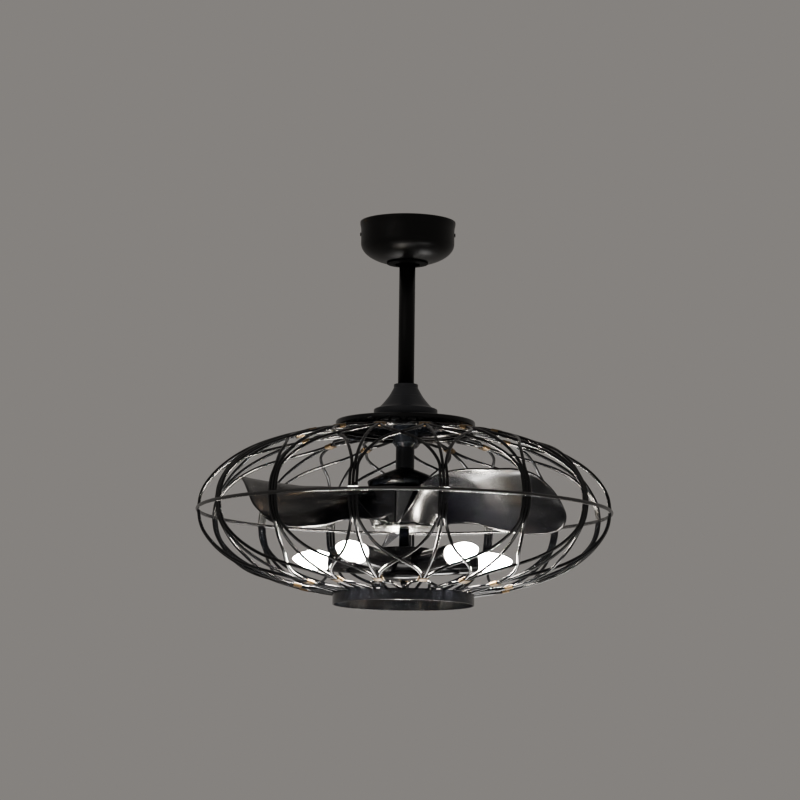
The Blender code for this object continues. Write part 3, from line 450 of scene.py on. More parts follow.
# The faint blue tint in the near-black bases of the pan, cap, wire, ring, band, blade and holder
# paints is painted glare haze from the lit bulbs.
PAN_PAINT = powder_coat("glossy_black_paint", (0.0012, 0.0015, 0.0022), 0.15, shine=0.26)
CAP_PAINT = powder_coat("satin_cap_paint", (0.0006, 0.0008, 0.0012), 0.26, shine=0.08)
WIRE_PAINT = powder_coat("satin_black_wire", (0.0010, 0.0012, 0.0017), 0.17, shine=0.34,
                         grain=700.0)
RING_PAINT = powder_coat("middle_ring_paint", (0.0010, 0.0010, 0.0012), 0.24, shine=0.85,
                         grain=700.0)
BAND_PAINT = powder_coat("glossy_band_paint", (0.0020, 0.0023, 0.0032), 0.14, shine=0.45,
                         grain=260.0, depth=0.10)
BLADE_BLACK = moulded_plastic("glossy_blade_black", (0.0007, 0.0008, 0.0012), 0.22, shine=0.34)
HOLDER_BLACK = moulded_plastic("satin_holder_black", (0.0010, 0.0011, 0.0016), 0.17, shine=0.34)
# Painted glare: a lighter blue-grey base over the black housing stands in for glare haze around the
# lit bulbs.
HOUSING_BLACK_AND_GLARE = moulded_plastic("satin_housing_black_and_painted_glare", (0.0090, 0.0094, 0.0106), 0.20, shine=0.34)
BALL_BLACK = moulded_plastic("ball_black", (0.02, 0.02, 0.02), 0.4)
BRASS = plated_metal("sleeve_brass", (0.20, 0.135, 0.070), 0.36)
STEEL = plated_metal("bright_steel", (0.62, 0.62, 0.62), 0.28)
ZINC = plated_metal("zinc_steel", (0.42, 0.42, 0.44), 0.42)
COPPER = plated_metal("winding_copper", (0.62, 0.26, 0.12), 0.35)
IRON = plated_metal("core_iron", (0.22, 0.22, 0.24), 0.5)
CERAMIC = moulded_plastic("socket_ceramic", (0.72, 0.70, 0.66), 0.25)
GLASS = clear_glass("bulb_glass")
FILAMENT = hot_filament("hot_filament")

# CAD nodes that stay as they are. The others that stay are bright steel.
KEPT_NODES = {
    "ceiling_bracket": ZINC,
    "coupling": ZINC,
    "hanger_ball": BALL_BLACK,
    "remote_receiver": BALL_BLACK,
    "canopy_screw_1": BLACK_PAINT,
    "canopy_screw_2": BLACK_PAINT,
    "stator_core": IRON,
    "stator_winding": COPPER,
    "rotor_magnet_ring": IRON,
}


# Shapes

def lathe(name, profile, material, node, body, steps=LATHE_STEPS, closed=False, wall=0.0,
          bevel=0.0):
    """A turned piece in place of a CAD node, from an outline of radius and height pairs."""
    mesh = bpy.data.meshes.new(name)
    edges = [(i, i + 1) for i in range(len(profile) - 1)]
    if closed:
        edges.append((len(profile) - 1, 0))
    mesh.from_pydata([(r, 0, z) for r, z in profile], edges, [])
    obj = link(name, mesh)
    screw = obj.modifiers.new("Turn", "SCREW")
    screw.steps = steps
    screw.render_steps = steps
    screw.use_merge_vertices = True
    screw.merge_threshold = MERGE_DISTANCE
    screw.use_smooth_shade = True
    if wall:
        shell = obj.modifiers.new("Wall", "SOLIDIFY")
        shell.thickness = wall
        shell.offset = -1
        shell.use_even_offset = True
    if bevel:
        add_bevel(obj, bevel, LATHE_BEVEL_STEPS, LATHE_SHARP_ANGLE)
    paint(obj, material)
    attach(obj, body)
    if node:
        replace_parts(obj, node)
    return obj


def add_bevel(obj, width, steps, angle):
    edge = obj.modifiers.new("Edge", "BEVEL")
    edge.width = width
    edge.segments = steps
    edge.limit_method = "ANGLE"
    edge.angle_limit = math.radians(angle)
    edge.harden_normals = True


def rounded(points, radius, steps=4):
    """An outline with its inner corners rounded off."""
    result = [points[0]]
    for before, corner, after in zip(points[:-2], points[1:-1], points[2:]):
        corner = Vector(corner)
        back = Vector(before) - corner
        ahead = Vector(after) - corner
        reach = min(radius, back.length / 2, ahead.length / 2)
        start = corner + back.normalized() * reach
        end = corner + ahead.normalized() * reach
        for i in range(steps + 1):
            t = i / steps
            point = start * (1 - t) ** 2 + corner * 2 * t * (1 - t) + end * t ** 2
            result.append((point.x, point.y))
    result.append(points[-1])
    return result


def tube_profile(outer, inner, top, bottom):
    return [(outer, top), (outer, bottom), (inner, bottom), (inner, top)]


def beyond(end, inner):
    """The point as far past the end as the inner one is before it."""
    return [2 * a - b for a, b in zip(end, inner)]


def smooth(points, share):
    """A point on a smooth curve through evenly numbered points."""
    last = len(points) - 1
    place_on = min(max(share, 0.0), 1.0) * last
    index = min(int(place_on), last - 1)
    t = place_on - index
    start, end = points[index:index + 2]
    before = points[index - 1] if index else beyond(start, end)
    after = points[index + 2] if index + 2 <= last else beyond(end, start)
    return [b + (c - a) * t / 2 + (2 * a - 5 * b + 4 * c - d) * t ** 2 / 2
            + (3 * b - a - 3 * c + d) * t ** 3 / 2
            for a, b, c, d in zip(before, start, end, after)]


def cubic(start, first, second, end, t):
    """A point on a curve that two inner points pull."""
    return [a * (1 - t) ** 3 + b * 3 * t * (1 - t) ** 2 + c * 3 * t ** 2 * (1 - t) + d * t ** 3
            for a, b, c, d in zip(start, first, second, end)]


def towards(start, end, share):
    return [a + (b - a) * share for a, b in zip(start, end)]


def round_wires(name, paths, radius, material, body, closed=False, as_given=False):
    """Round wires along smooth curves through their points, in one curve object."""
    curve = bpy.data.curves.new(name, "CURVE")
    curve.dimensions = "3D"
    curve.bevel_depth = radius
    curve.bevel_resolution = WIRE_BEVEL_STEPS
    curve.use_fill_caps = not closed
    for points in paths:
        if not (closed or as_given):
            points = [smooth(points, i / (WIRE_POINTS - 1)) for i in range(WIRE_POINTS)]
        spline = curve.splines.new("POLY")
        spline.points.add(len(points) - 1)
        for target, point in zip(spline.points, points):
            target.co = (point[0], point[1], point[2], 1.0)
        spline.use_cyclic_u = closed
        spline.use_smooth = True
    obj = link(name, curve)
    paint(obj, material)
    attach(obj, body)
    return obj


# The cage. Side is 1 above the middle ring and -1 below it.

def cage_radius(height):
    return CAGE_REACH * (1 - (abs(height) / CAGE_HALF_HEIGHT) ** CAGE_POWER) ** (1 / CAGE_POWER)


def cage_height(radius):
    return CAGE_HALF_HEIGHT * (1 - (radius / CAGE_REACH) ** CAGE_POWER) ** (1 / CAGE_POWER)


def junction_radii():
    reach = SLEEVE_LENGTH / 2 + WIRE_PITCH
    return JUNCTION_RADIUS + reach, JUNCTION_RADIUS - reach


def wire_end_radius(side):
    return TOP_RING_RADIUS if side > 0 else BAND_RADIUS - BAND_WALL / 2


def wire_end_height(side):
    return TOP_RING_HEIGHT if side > 0 else cage(-cage_height(wire_end_radius(side)))


def wire_start_height(side):
    return RING_TUBE if side > 0 else RING_TUBE + GAP


def meridian_points(azimuth, side):
    """An upright wire, from the middle ring to the top ring or the band."""
    heights = [wire_start_height(side)] + [CAGE_HALF_HEIGHT * share for share in MERIDIAN_SHARES]
    points = [spot(cage_radius(z), azimuth, cage(side * z)) for z in heights]
    for radius in junction_radii():
        points.append(spot(radius, azimuth, cage(side * cage_height(radius))))
    points.append(spot(wire_end_radius(side), azimuth, wire_end_height(side)))
    return points


def cell_wire_points(middle, hand, side):
    """A looping wire: beside one upright, across the cell to the next, then back to the middle."""
    half = 180 / CELL_COUNT
    points = []
    start = (wire_start_height(side) / CAGE_HALF_HEIGHT, *CELL_WIRE_START)
    for height_share, cell_share, beside, lifted in (start, *CELL_WIRE_SHARES):
        z = CAGE_HALF_HEIGHT * height_share
        radius = cage_radius(z) + hand * lifted * WIRE_CROSSING
        azimuth = middle + hand * cell_share * half
        points.append(spot(radius, azimuth, cage(side * z), hand * beside * WIRE_PITCH))
    for radius in junction_radii():
        height = cage(side * cage_height(radius))
        points.append(spot(radius, middle + hand * half, height, -hand * WIRE_PITCH))
    end = wire_end_radius(side)
    between = end + (JUNCTION_RADIUS - end) * RETURN_RADIUS_SHARE
    height = cage(side * cage_height(between))
    points.append(spot(between, middle + hand * half * RETURN_CELL_SHARE, height))
    points.append(spot(end, middle, wire_end_height(side), hand * WIRE_PITCH / 2))
    return points


def circle(radius, height):
    return [spot(radius, 360 * i / RING_POINTS, height) for i in range(RING_POINTS)]


def sleeve_matrix(azimuth, side):
    outer, inner = junction_radii()
    fall = math.atan2(cage_height(inner) - cage_height(outer), outer - inner)
    height = side * (cage_height(inner) + cage_height(outer)) / 2
    return (Matrix.Translation(spot((outer + inner) / 2, azimuth, cage(height)))
            @ heading(azimuth) @ Matrix.Rotation(side * fall, 4, "X"))


def sleeve_loop(along, radius):
    """The flat oval round three wires side by side."""
    loop = []
    for sign in (1, -1):
        for step in range(SLEEVE_ARC_STEPS + 1):
            angle = math.pi / 2 - math.pi * step / SLEEVE_ARC_STEPS
            loop.append(Vector((sign * (WIRE_PITCH + radius * math.cos(angle)), along,
                                sign * radius * math.sin(angle))))
    return loop


def sleeves(name, side):
    """Crimped brass sleeves round three wires each, with thinned ends and a dent in the middle."""
    mesh = bpy.data.meshes.new(name)
    bm = bmesh.new()
    for i in range(CELL_COUNT):
        matrix = sleeve_matrix(CELL_PHASE + 360 * i / CELL_COUNT, side)
        loops = []
        for along, full in SLEEVE_STATIONS:
            radius = WIRE_RADIUS + SLEEVE_PLAY + SLEEVE_WALL * full
            loop = sleeve_loop(along * SLEEVE_LENGTH, radius)
            loops.append([bm.verts.new(matrix @ point) for point in loop])
        count = len(loops[0])
        for first, second in zip(loops[:-1], loops[1:]):
            for j in range(count):
                after = (j + 1) % count
                bm.faces.new((first[j], first[after], second[after], second[j]))
        bm.faces.new(loops[0][::-1])
        bm.faces.new(loops[-1])
    bmesh.ops.recalc_face_normals(bm, faces=bm.faces)
    bm.to_mesh(mesh)
    bm.free()
    mesh.shade_smooth()
    mesh.set_sharp_from_angle(angle=math.radians(SHARP_ANGLE))
    obj = link(name, mesh)
    paint(obj, BRASS)
    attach(obj, "hanger")
    return obj


def make_cage():
    ring = round_wires("middle_ring", [circle(RING_RADIUS, cage(0))], RING_TUBE, RING_PAINT,
                       "hanger", closed=True)
    top = round_wires("top_ring", [circle(TOP_RING_RADIUS, TOP_RING_HEIGHT)], TOP_RING_TUBE,
                      WIRE_PAINT, "hanger", closed=True)
    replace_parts(ring, "upper_cage")
    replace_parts(top, "upper_cage")

    for side, level in ((1, "upper"), (-1, "lower")):
        uprights = []
        cells = []
        for i in range(CELL_COUNT):
            azimuth = CELL_PHASE + 360 * i / CELL_COUNT
            middle = azimuth + 180 / CELL_COUNT
            uprights.append(meridian_points(azimuth, side))
            cells.append(cell_wire_points(middle, 1, side))
            cells.append(cell_wire_points(middle, -1, side))
        node = level + "_cage"
        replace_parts(round_wires(level + "_upright_wires", uprights, WIRE_RADIUS, WIRE_PAINT,
                                "hanger"), node)
        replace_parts(round_wires(level + "_looping_wires", cells, WIRE_RADIUS, WIRE_PAINT,
                                "hanger"), node)
        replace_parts(sleeves(level + "_wire_sleeves", side), node)

    band_top = wire_end_height(-1)
    outline = tube_profile(BAND_RADIUS, BAND_RADIUS - BAND_WALL, band_top, band_top - BAND_HEIGHT)
    lathe("bottom_band", outline, BAND_PAINT, "lower_cage", "hanger", steps=WIDE_LATHE_STEPS,
          closed=True, bevel=BAND_EDGE)


# Blades. Along runs from the collar to the tip, across from the high edge to the low one.

def blade_point(along, across):
    """Radius share, azimuth and depth share of the blade's middle surface, from its four edges."""
    high = smooth(HIGH_EDGE_SHARES, along)
    low = smooth(LOW_EDGE_SHARES, along)
    tip = smooth(TIP_SHARES, across)
    high_root, low_root = HIGH_EDGE_SHARES[0], LOW_EDGE_SHARES[0]
    high_tip, low_tip = TIP_SHARES[0], TIP_SHARES[-1]
    root = towards(high_root, low_root, across)
    bend = CAMBER_SHARE * across + (1 - CAMBER_SHARE) * across ** 2
    root[2] = high_root[2] + (low_root[2] - high_root[2]) * bend
    point = []
    for k in range(3):
        ruled = (1 - across) * high[k] + across * low[k] + (1 - along) * root[k] + along * tip[k]
        corners = ((1 - along) * ((1 - across) * high_root[k] + across * low_root[k])
                   + along * ((1 - across) * high_tip[k] + across * low_tip[k]))
        point.append(ruled - corners)
    return point


def wing_spot(along, across):
    reach, azimuth, depth = blade_point(along, across)
    radius = COLLAR_RADIUS + (BLADE_REACH - COLLAR_RADIUS) * reach
    return spot(radius, azimuth, cage(BLADE_MIDDLE + BLADE_DEPTH * depth))


def wing_normal(along, across):
    """The upward normal of the wing's middle surface."""
    tangent = (wing_spot(min(along + NORMAL_STEP, 1.0), across)
               - wing_spot(max(along - NORMAL_STEP, 0.0), across))
    chord = (wing_spot(along, min(across + NORMAL_STEP, 1.0))
             - wing_spot(along, max(across - NORMAL_STEP, 0.0)))
    normal = tangent.cross(chord).normalized()
    return normal if normal.z > 0 else -normal


def sheet(name, rows, thickness, edge, material, offset=0):
    """A grid of points as an even sheet: round its middle, or all behind its face at offset -1."""
    mesh = bpy.data.meshes.new(name)
    bm = bmesh.new()
    grid = [[bm.verts.new(point) for point in row] for row in rows]
    for upper, lower in zip(grid[:-1], grid[1:]):
        for j in range(len(upper) - 1):
            bm.faces.new((upper[j], upper[j + 1], lower[j + 1], lower[j]))
    bm.to_mesh(mesh)
    bm.free()
    mesh.shade_smooth()
    obj = link(name, mesh)
    solid = obj.modifiers.new("Thickness", "SOLIDIFY")
    solid.thickness = thickness
    solid.offset = offset
    solid.use_even_offset = True
    if edge:
        add_bevel(obj, edge, SHEET_BEVEL_STEPS, SHARP_ANGLE)
    paint(obj, material)
    return obj


def polar(point):
    """Radius, azimuth and height of a point."""
    return math.hypot(point.x, point.y), math.degrees(math.atan2(point.x, -point.y)), point.z


def sweep_row(side, across):
    """The sweep's curve at one place along the root: its foot, two points that pull it, its end."""
    outside = COLLAR_RADIUS + COLLAR_THICKNESS / 2
    root = wing_spot(SWEEP_SHARE, across)
    away = wing_spot(SWEEP_SHARE + SWEEP_SLOPE_STEP, across) - root
    end = root + wing_normal(SWEEP_SHARE, across) * side * (BLADE_THICKNESS / 2 - SWEEP_SINK)
    radius = polar(end)[0]
    run = (radius - outside) / (polar(end + away)[0] - radius)
    corner_azimuth, corner_height = polar(end - away * run)[1:]
    corner_height = min(max(corner_height, cage(COLLAR_BOTTOM)), cage(COLLAR_TOP))
    corner_radius = outside + (SWEEP_LEAN * (1 - across) if side < 0 else 0)
    if side > 0:
        foot_azimuth = corner_azimuth + (COLLAR_SEAM - corner_azimuth) * across ** 2
        foot_height = min(corner_height + SWEEP_RISE, cage(COLLAR_TOP))
    else:
        foot_azimuth = corner_azimuth + (COLLAR_LEAD_LOW - corner_azimuth) * (1 - across) ** 2
        foot_height = cage(COLLAR_BOTTOM)
    foot = (outside - SWEEP_SINK, foot_azimuth, foot_height)
    corner = (corner_radius, corner_azimuth, corner_height)
    knee = towards(foot, corner, SWEEP_PULL)
    if side < 0:
        knee[0] = corner_radius
        knee[2] = min(foot_height + SWEEP_KNEE, (foot_height + corner_height) / 2)
    bend = towards(polar(end), corner, SWEEP_PULL)
    return [spot(*cubic(foot, knee, bend, polar(end), i / SWEEP_STEPS))
            for i in range(SWEEP_STEPS + 1)]


def sweep_rows(side):
    """A wide concave sweep from the collar's outside to one face of the wing, along the whole root.

    Over the wing it starts a little way up the collar. Under the wing it starts at the collar's
    foot, so that its front end follows the collar's slanted front edge, and it bulges out low down
    first.
    """
    rows = [sweep_row(side, j / BLADE_COLUMNS) for j in range(BLADE_COLUMNS + 1)]
    return rows if side > 0 else [row[::-1] for row in rows]


def collar_rows():
    """The curved collar, from its upper edge down: its front edge is slanted."""
    rows = []
    for i in range(COLLAR_ROWS + 1):
        share = 1 - i / COLLAR_ROWS
        lead = COLLAR_LEAD_LOW + (COLLAR_LEAD_HIGH - COLLAR_LEAD_LOW) * share
        height = COLLAR_BOTTOM + (COLLAR_TOP - COLLAR_BOTTOM) * share
        rows.append([spot(COLLAR_RADIUS, lead + (COLLAR_SEAM - lead) * j / COLLAR_COLUMNS,
                          cage(height)) for j in range(COLLAR_COLUMNS + 1)])
    return rows


def wing_rows():
    return [[wing_spot(i / BLADE_ROWS, j / BLADE_COLUMNS) for j in range(BLADE_COLUMNS + 1)]
            for i in range(BLADE_ROWS + 1)]


def rim_path():
    """A blade's rounded rim: up the swept front edge, round the tip and back along the low edge."""
    front = sweep_row(-1, 0.0)
    shares = [i / RIM_STEPS for i in range(RIM_STEPS + 1)]
    high = [wing_spot(SWEEP_SHARE + (1 - SWEEP_SHARE) * share, 0.0) for share in shares]
    tip = [wing_spot(1.0, share) for share in shares]
    low = [wing_spot(1 - share, 1.0) for share in shares]
    return front[:-1] + high[:-1] + tip[:-1] + low


def make_blades():
    # Name, rows, thickness, rounded edge, offset
    sheets = (
        ("blade_wing_%d", wing_rows(), BLADE_THICKNESS, BLADE_EDGE, 0),
        ("blade_collar_%d", collar_rows(), COLLAR_THICKNESS, COLLAR_EDGE, 0),
        ("blade_upper_sweep_%d", sweep_rows(1), SWEEP_THICKNESS, 0, -1),
        ("blade_lower_sweep_%d", sweep_rows(-1), SWEEP_THICKNESS, 0, -1),
    )
    rim = rim_path()
    for number in range(1, BLADE_COUNT + 1):
        turn = heading(360 * (number - 1) / BLADE_COUNT)
        node = "blade_%d" % number
        pieces = []
        for name, rows, thickness, edge, offset in sheets:
            turned = [[turn @ point for point in row] for row in rows]
            pieces.append(sheet(name % number, turned, thickness, edge, BLADE_BLACK, offset))
        turned = [turn @ point for point in rim]
        pieces.append(round_wires("blade_rim_%d" % number, [turned], RIM_RADIUS, BLADE_BLACK,
                                  "rotor", as_given=True))
        for piece in pieces:
            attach(piece, "rotor")
            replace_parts(piece, node)


# Turned pieces

def canopy_round(angle):
    share = math.radians(angle)
    depth = CANOPY_HEIGHT - CANOPY_WALL_HEIGHT
    return (CANOPY_RADIUS * math.cos(share) ** (2 / CANOPY_ROUND_POWER),
            -CANOPY_WALL_HEIGHT - depth * math.sin(share) ** (2 / CANOPY_ROUND_POWER))


def canopy_outline():
    """A flared upper edge, a straight wall, a rounded foot and a shallow cone in to the hole."""
    flared = CANOPY_RADIUS + CANOPY_FLARE
    wall = rounded([(flared, -GAP), (flared, -CANOPY_FLARE_TOP),
                    (CANOPY_RADIUS, -CANOPY_FLARE_BOTTOM), (CANOPY_RADIUS, -CANOPY_WALL_HEIGHT)],
                   CANOPY_FLARE_ROUNDING)
    foot = [canopy_round(CANOPY_ROUND_END * i / CANOPY_ROUND_STEPS)
            for i in range(CANOPY_ROUND_STEPS + 1)]
    radius, height = foot[-1]
    hole_share = (radius - CANOPY_HOLE_RADIUS) / radius
    return wall[:-1] + foot + [(CANOPY_HOLE_RADIUS, height - (CANOPY_HEIGHT + height) * hole_share)]


def make_canopy():
    outline = canopy_outline()
    lathe("canopy_shell", outline, BLACK_PAINT, "canopy", "ceiling", wall=CANOPY_WALL)
    (outer_radius, outer_height), (hole_radius, edge) = outline[-2:]
    slope = (outer_height - edge) / (outer_radius - hole_radius)
    rim = edge + slope * (TRIM_RADIUS - hole_radius) - GAP
    bore = hole_radius - GAP
    inner = (bore, edge - GAP - slope * GAP)
    outline = [inner, (TRIM_RADIUS, rim), (TRIM_RADIUS, rim - TRIM_THICKNESS),
               (TRIM_HOLE_RADIUS, edge - GAP - TRIM_THICKNESS),
               (TRIM_HOLE_RADIUS, edge + TRIM_THICKNESS), (bore, edge + TRIM_THICKNESS), inner]
    lathe("trim_ring", rounded(outline, TRIM_ROUNDING), TRIM_BLACK, "canopy_trim_ring", "ceiling")


def make_rod_and_cover():
    low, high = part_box("downrod")
    outline = tube_profile(ROD_RADIUS, ROD_RADIUS - ROD_WALL, high.z, low.z)
    lathe("downrod_tube", outline, BLACK_PAINT, "downrod", "hanger", closed=True)

    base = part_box("coupling_cover")[0].z
    flare = COVER_BASE_RADIUS - COVER_COLLAR_RADIUS
    corners = [(COVER_COLLAR_RADIUS + flare * r, base + COVER_HEIGHT * z) for r, z in COVER_SHARES]
    flared = [tuple(smooth(corners[1:-1], i / COVER_STEPS)) for i in range(COVER_STEPS + 1)]
    outline = ([(ROD_RADIUS + COVER_WALL, base + COVER_HEIGHT), corners[0]] + flared
               + [corners[-1], (COVER_BASE_RADIUS, base)])
    lathe("cover_shell", rounded(outline, COVER_ROUNDING, steps=3), COVER_PAINT_AND_GLARE, "coupling_cover",
          "hanger", wall=COVER_WALL)


def make_top_plate():
    outline = [(SHAFT_SEAT_RADIUS, PLATE_TOP), (PLATE_RADIUS, PLATE_TOP),
               (PLATE_RADIUS, PLATE_BOTTOM)]
    lathe("top_plate_pan", rounded(outline, PLATE_ROUNDING, steps=8), PAN_PAINT, "cage_top_plate",
          "hanger", steps=WIDE_LATHE_STEPS, wall=PLATE_WALL)

    low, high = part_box("upper_mast")
    under = high.z - MAST_FLANGE_HEIGHT
    collar_bottom = cage(MAST_COLLAR_BOTTOM)
    outline = [(SHAFT_SEAT_RADIUS, high.z), (high.x, high.z), (high.x, under),
               (MAST_COLLAR_RADIUS, under), (MAST_COLLAR_RADIUS, collar_bottom),
               (MAST_RADIUS, collar_bottom - MAST_COLLAR_SLOPE), (MAST_RADIUS, low.z),
               (SHAFT_SEAT_RADIUS, low.z), (SHAFT_SEAT_RADIUS, high.z)]
    lathe("mast_tube", rounded(outline, MAST_ROUNDING), MAST_PAINT_AND_GLARE, "upper_mast", "hanger")


def make_motor():
    top = cage(CAP_TOP) - GAP
    outline = [(SHAFT_SEAT_RADIUS, top), (MAST_RADIUS, top),
               (CAP_RADIUS * CAP_CONE_SHARE, cage(CAP_CONE_HEIGHT)),
               (CAP_RADIUS, cage(CAP_SHOULDER)), (CAP_RADIUS * CAP_RIM_SHARE, cage(CAP_RIM_BOTTOM))]
    lathe("motor_cap_shell", rounded(outline, CAP_ROUNDING, steps=5), CAP_PAINT, "motor_cap",
          "hanger", wall=CAP_WALL)

    low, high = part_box("motor_shaft")
    outline = tube_profile(SHAFT_RADIUS, SHAFT_BORE_RADIUS, high.z, low.z)
    lathe("shaft_tube", outline, PAN_PAINT, "motor_shaft", "hanger", steps=SMALL_LATHE_STEPS,
          closed=True)

    low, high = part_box("rotor_drum")
    roof = cage(DRUM_ROOF)
    inside = DRUM_RADIUS - DRUM_WALL
    outline = [(BEARING_SEAT_RADIUS, high.z), (inside, high.z), (DRUM_RADIUS, roof),
               (DRUM_RADIUS, low.z), (inside, low.z), (inside, roof),
               (BEARING_SEAT_RADIUS, roof - GAP)]
    lathe("drum_shell", outline, HOUSING_BLACK_AND_GLARE, "rotor_drum", "rotor", closed=True, bevel=DRUM_EDGE)

    low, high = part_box("rotor_end_plate")
    face = low.z + END_PLATE_THICKNESS
    boss = BEARING_SEAT_RADIUS + END_PLATE_THICKNESS
    bore = SHAFT_RADIUS + END_PLATE_THICKNESS
    outline = [(BEARING_SEAT_RADIUS, high.z), (boss, high.z), (boss, face),
               (END_PLATE_RADIUS, face), (END_PLATE_RADIUS, low.z), (bore, low.z),
               (bore, face - GAP), (BEARING_SEAT_RADIUS, face - GAP)]
    lathe("end_plate_disc", outline, STEEL, "rotor_end_plate", "rotor", closed=True,
          bevel=END_PLATE_EDGE)


def make_light_kit():
    low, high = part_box("light_hub")
    outline = [(SHAFT_SEAT_RADIUS, high.z), (HUB_RADIUS, high.z), (HUB_RADIUS, low.z)]
    lathe("hub_shell", rounded(outline, HUB_ROUNDING, steps=5), PAN_PAINT, "light_hub", "hanger",
          wall=HUB_WALL)

    low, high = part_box("light_hub_bowl")
    top = high.z - BOWL_RIM
    stem = FINIAL_RADIUS * FINIAL_STEM_SHARE
    outline = [(HUB_RADIUS, high.z), (HUB_RADIUS, top)]
    for i in range(1, BOWL_STEPS):
        angle = math.pi / 2 * i / BOWL_STEPS
        outline.append((HUB_RADIUS * math.cos(angle) ** BOWL_POWER,
                        top - (top - low.z) * math.sin(angle) ** BOWL_POWER))
    outline.append((stem, low.z))
    lathe("hub_bowl", outline, PAN_PAINT, "light_hub_bowl", "hanger", wall=HUB_WALL)

    low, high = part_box("finial")
    stem -= GAP
    disc_top = low.z + FINIAL_DISC_TOP
    outline = [(0, high.z), (stem, high.z), (stem, disc_top), (FINIAL_RADIUS, disc_top),
               (FINIAL_RADIUS, low.z + FINIAL_DISC_BOTTOM),
               (FINIAL_RADIUS * FINIAL_END_SHARE, low.z), (0, low.z)]
    lathe("finial_knob", rounded(outline, FINIAL_ROUNDING), PAN_PAINT, "finial", "hanger",
          steps=SMALL_LATHE_STEPS)

    for i in range(LAMP_COUNT):
        make_lamp(i)


# Lamps. Their outlines run along the lamp's own axis.

def lamp_matrix(number):
    tilt = math.radians(LAMP_TILT)
    drop = HOLDER_MIDDLE_DROP - HOLDER_MIDDLE_REACH * math.tan(tilt)
    return (Matrix.Translation((0, 0, cage(drop))) @ heading(LAMP_PHASE + 360 * number / LAMP_COUNT)
            @ Matrix.Rotation(math.pi / 2 - tilt, 4, "X"))


def turned_on_axis(name, profile, material, node, body, matrix):
    obj = lathe(name, profile, material, None, body, steps=SMALL_LATHE_STEPS)
    obj.matrix_world = matrix
    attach(obj, body)
    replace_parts(obj, node)


def glass_profile(start, tip):
    """The glass's outside from the tip back to its neck, then its inside forward again."""
    outer = []
    for i in range(BULB_STEPS, -1, -1):
        along, wide = smooth(BULB_SHARES, i / BULB_STEPS)
        outer.append((BULB_RADIUS * wide, start + (tip - start) * along))
    inner = [(max(radius - GLASS_WALL, 0), height) for radius, height in outer]
    return [(0, tip)] + outer + inner[::-1] + [(0, tip - GLASS_WALL)]


def base_profile(start):
    """The screw base, from the glass's neck down to its end contact."""
    profile = [(0, start), (BULB_RADIUS * BULB_SHARES[0][1] - GLASS_WALL, start)]
    steps = THREAD_TURNS * THREAD_STEPS
    for i in range(steps + 1):
        wave = math.cos(math.tau * i / THREAD_STEPS)
        profile.append((BULB_BASE_RADIUS - THREAD_DEPTH + THREAD_DEPTH * wave,
                        start - THREAD_START - THREAD_LENGTH * i / steps))
    end = start - BULB_BASE_LENGTH
    return profile + [(BULB_BASE_RADIUS * BULB_CONTACT_SHARE, end), (0, end)]


def make_lamp(number):
    matrix = lamp_matrix(number)
    stretch = 1 / math.cos(math.radians(LAMP_TILT))
    mouth = HOLDER_REACH * stretch
    tip = BULB_REACH * stretch
    socket_end = mouth - SOCKET_INSET
    socket_inside = socket_end - SOCKET_DEPTH
    socket_back = socket_inside - SOCKET_FLOOR
    start = socket_end + GAP
    name = "_%d" % (number + 1)
    bulb = "bulb" + name
    body = bulb + "_body"
    bore = HOLDER_RADIUS - HOLDER_WALL
    back = HUB_RADIUS * HOLDER_BACK_SHARE
    holder = [(0, socket_back - GAP), (bore, socket_back - GAP), (bore, mouth),
              (HOLDER_RADIUS, mouth), (HOLDER_RADIUS, back), (0, back)]
    turned_on_axis("holder_shell" + name, rounded(holder, HOLDER_ROUNDING), HOLDER_BLACK,
                   "lamp_holder" + name, "hanger", matrix)
    socket = [(0, socket_inside), (SOCKET_BORE_RADIUS, socket_inside),
              (SOCKET_BORE_RADIUS, socket_end), (SOCKET_RADIUS, socket_end),
              (SOCKET_RADIUS, socket_back), (0, socket_back)]
    turned_on_axis("socket_cup" + name, socket, CERAMIC, "bulb_socket" + name, "hanger", matrix)
    turned_on_axis("bulb_glass" + name, glass_profile(start, tip), GLASS, bulb, body, matrix)
    turned_on_axis("bulb_base" + name, base_profile(start), STEEL, bulb, body, matrix)
    make_filament("bulb_filament" + name, body, matrix, start, tip, bulb)


def make_filament(name, body, matrix, start, tip, node):
    """Upright filament strands round the bulb's axis."""
    curve = bpy.data.curves.new(name, "CURVE")
    curve.dimensions = "3D"
    curve.bevel_depth = STRAND_RADIUS
    curve.bevel_resolution = STRAND_BEVEL_STEPS
    curve.use_fill_caps = True
    for i in range(STRAND_COUNT):
        angle = math.tau * i / STRAND_COUNT
        spline = curve.splines.new("POLY")
        spline.points.add(len(STRAND_SPOTS) - 1)
        for target, (along, spread) in zip(spline.points, STRAND_SPOTS):
            target.co = (spread * math.cos(angle), spread * math.sin(angle),
                         start + (tip - start) * along, 1.0)
    obj = link(name, curve)
    paint(obj, FILAMENT)
    obj.matrix_world = matrix
    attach(obj, body)
    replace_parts(obj, node)


def paint_kept_nodes():
    for name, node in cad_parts.items():
        paint(node, KEPT_NODES.get(name, STEEL))


# Stage, light and camera

def area_light(name, place, target, size, power, colour, depth=0.0):
    """A round light, or a rectangle of size by depth."""
    light = bpy.data.lights.new(name, "AREA")
    light.shape = "RECTANGLE" if depth else "DISK"
    light.size = size
    if depth:
        light.size_y = depth
    light.energy = power
    light.color = colour
    obj = link(name, light)
    obj.location = place
    obj.rotation_euler = (Vector(target) - obj.location).to_track_quat("-Z", "Y").to_euler()


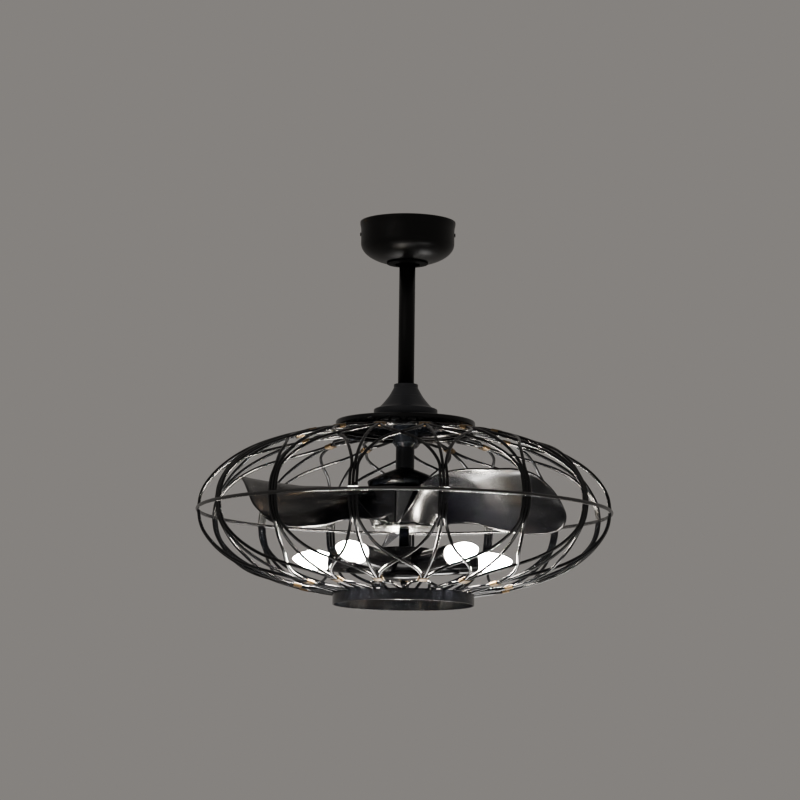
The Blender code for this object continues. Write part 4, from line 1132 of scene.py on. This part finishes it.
def make_stage():
    bpy.ops.mesh.primitive_plane_add(size=FLOOR_SIZE, location=(0, 0, FLOOR_HEIGHT))
    floor = bpy.context.object
    floor.name = "floor"
    material, shader = new_material("pale_floor")
    shader.inputs["Base Color"].default_value = FLOOR_COLOUR
    shader.inputs["Roughness"].default_value = FLOOR_ROUGH
    paint(floor, material)
    world = bpy.data.worlds.new("soft_world")
    world.use_nodes = True
    background = world.node_tree.nodes["Background"]
    background.inputs["Color"].default_value = WORLD_COLOUR
    background.inputs["Strength"].default_value = WORLD_STRENGTH
    bpy.context.scene.world = world
    middle = (0, 0, cage(0))
    area_light("key_light", (-1.6, -2.2, 0.6), middle, size=2.4, power=3.0, colour=WARM_WHITE)
    area_light("under_light", (0.45, -0.75, -2.1), (0.45, -0.1, 0.0), size=2.6, power=22.0,
               colour=SOFT_WHITE, depth=0.35)
    area_light("low_light", (0.47, 1.10, -2.0), middle, size=0.5, power=18.0, colour=SOFT_WHITE)
    area_light("back_light", (-0.03, 1.61, -2.03), middle, size=0.42, power=13.0, colour=SOFT_WHITE)


def make_camera():
    """The camera aims at the middle ring's centre and turns until that lies on its pixel."""
    camera = bpy.data.cameras.new("camera")
    camera.lens = CAMERA_LENS
    camera.sensor_width = SENSOR_WIDTH
    camera.sensor_fit = "HORIZONTAL"
    obj = link("camera", camera)
    elevation = math.radians(CAMERA_ELEVATION)
    middle = Vector((0, 0, cage(0)))
    place = middle + CAMERA_DISTANCE * Vector((0, -math.cos(elevation), math.sin(elevation)))
    focal_pixels = CAMERA_LENS / SENSOR_WIDTH * PICTURE_SIZE
    right, down = (math.atan((pixel - PICTURE_SIZE / 2) / focal_pixels) for pixel in RING_PIXEL)
    look = (middle - place).to_track_quat("-Z", "Y").to_matrix().to_4x4()
    obj.matrix_world = (Matrix.Translation(place) @ look
                        @ Matrix.Rotation(math.radians(CAMERA_ROLL), 4, "Z")
                        @ Matrix.Rotation(down, 4, "X") @ Matrix.Rotation(right, 4, "Y"))
    bpy.context.scene.camera = obj


paint_kept_nodes()
make_cage()
make_blades()
make_canopy()
make_rod_and_cover()
make_top_plate()
make_motor()
make_light_kit()
make_stage()
make_camera()
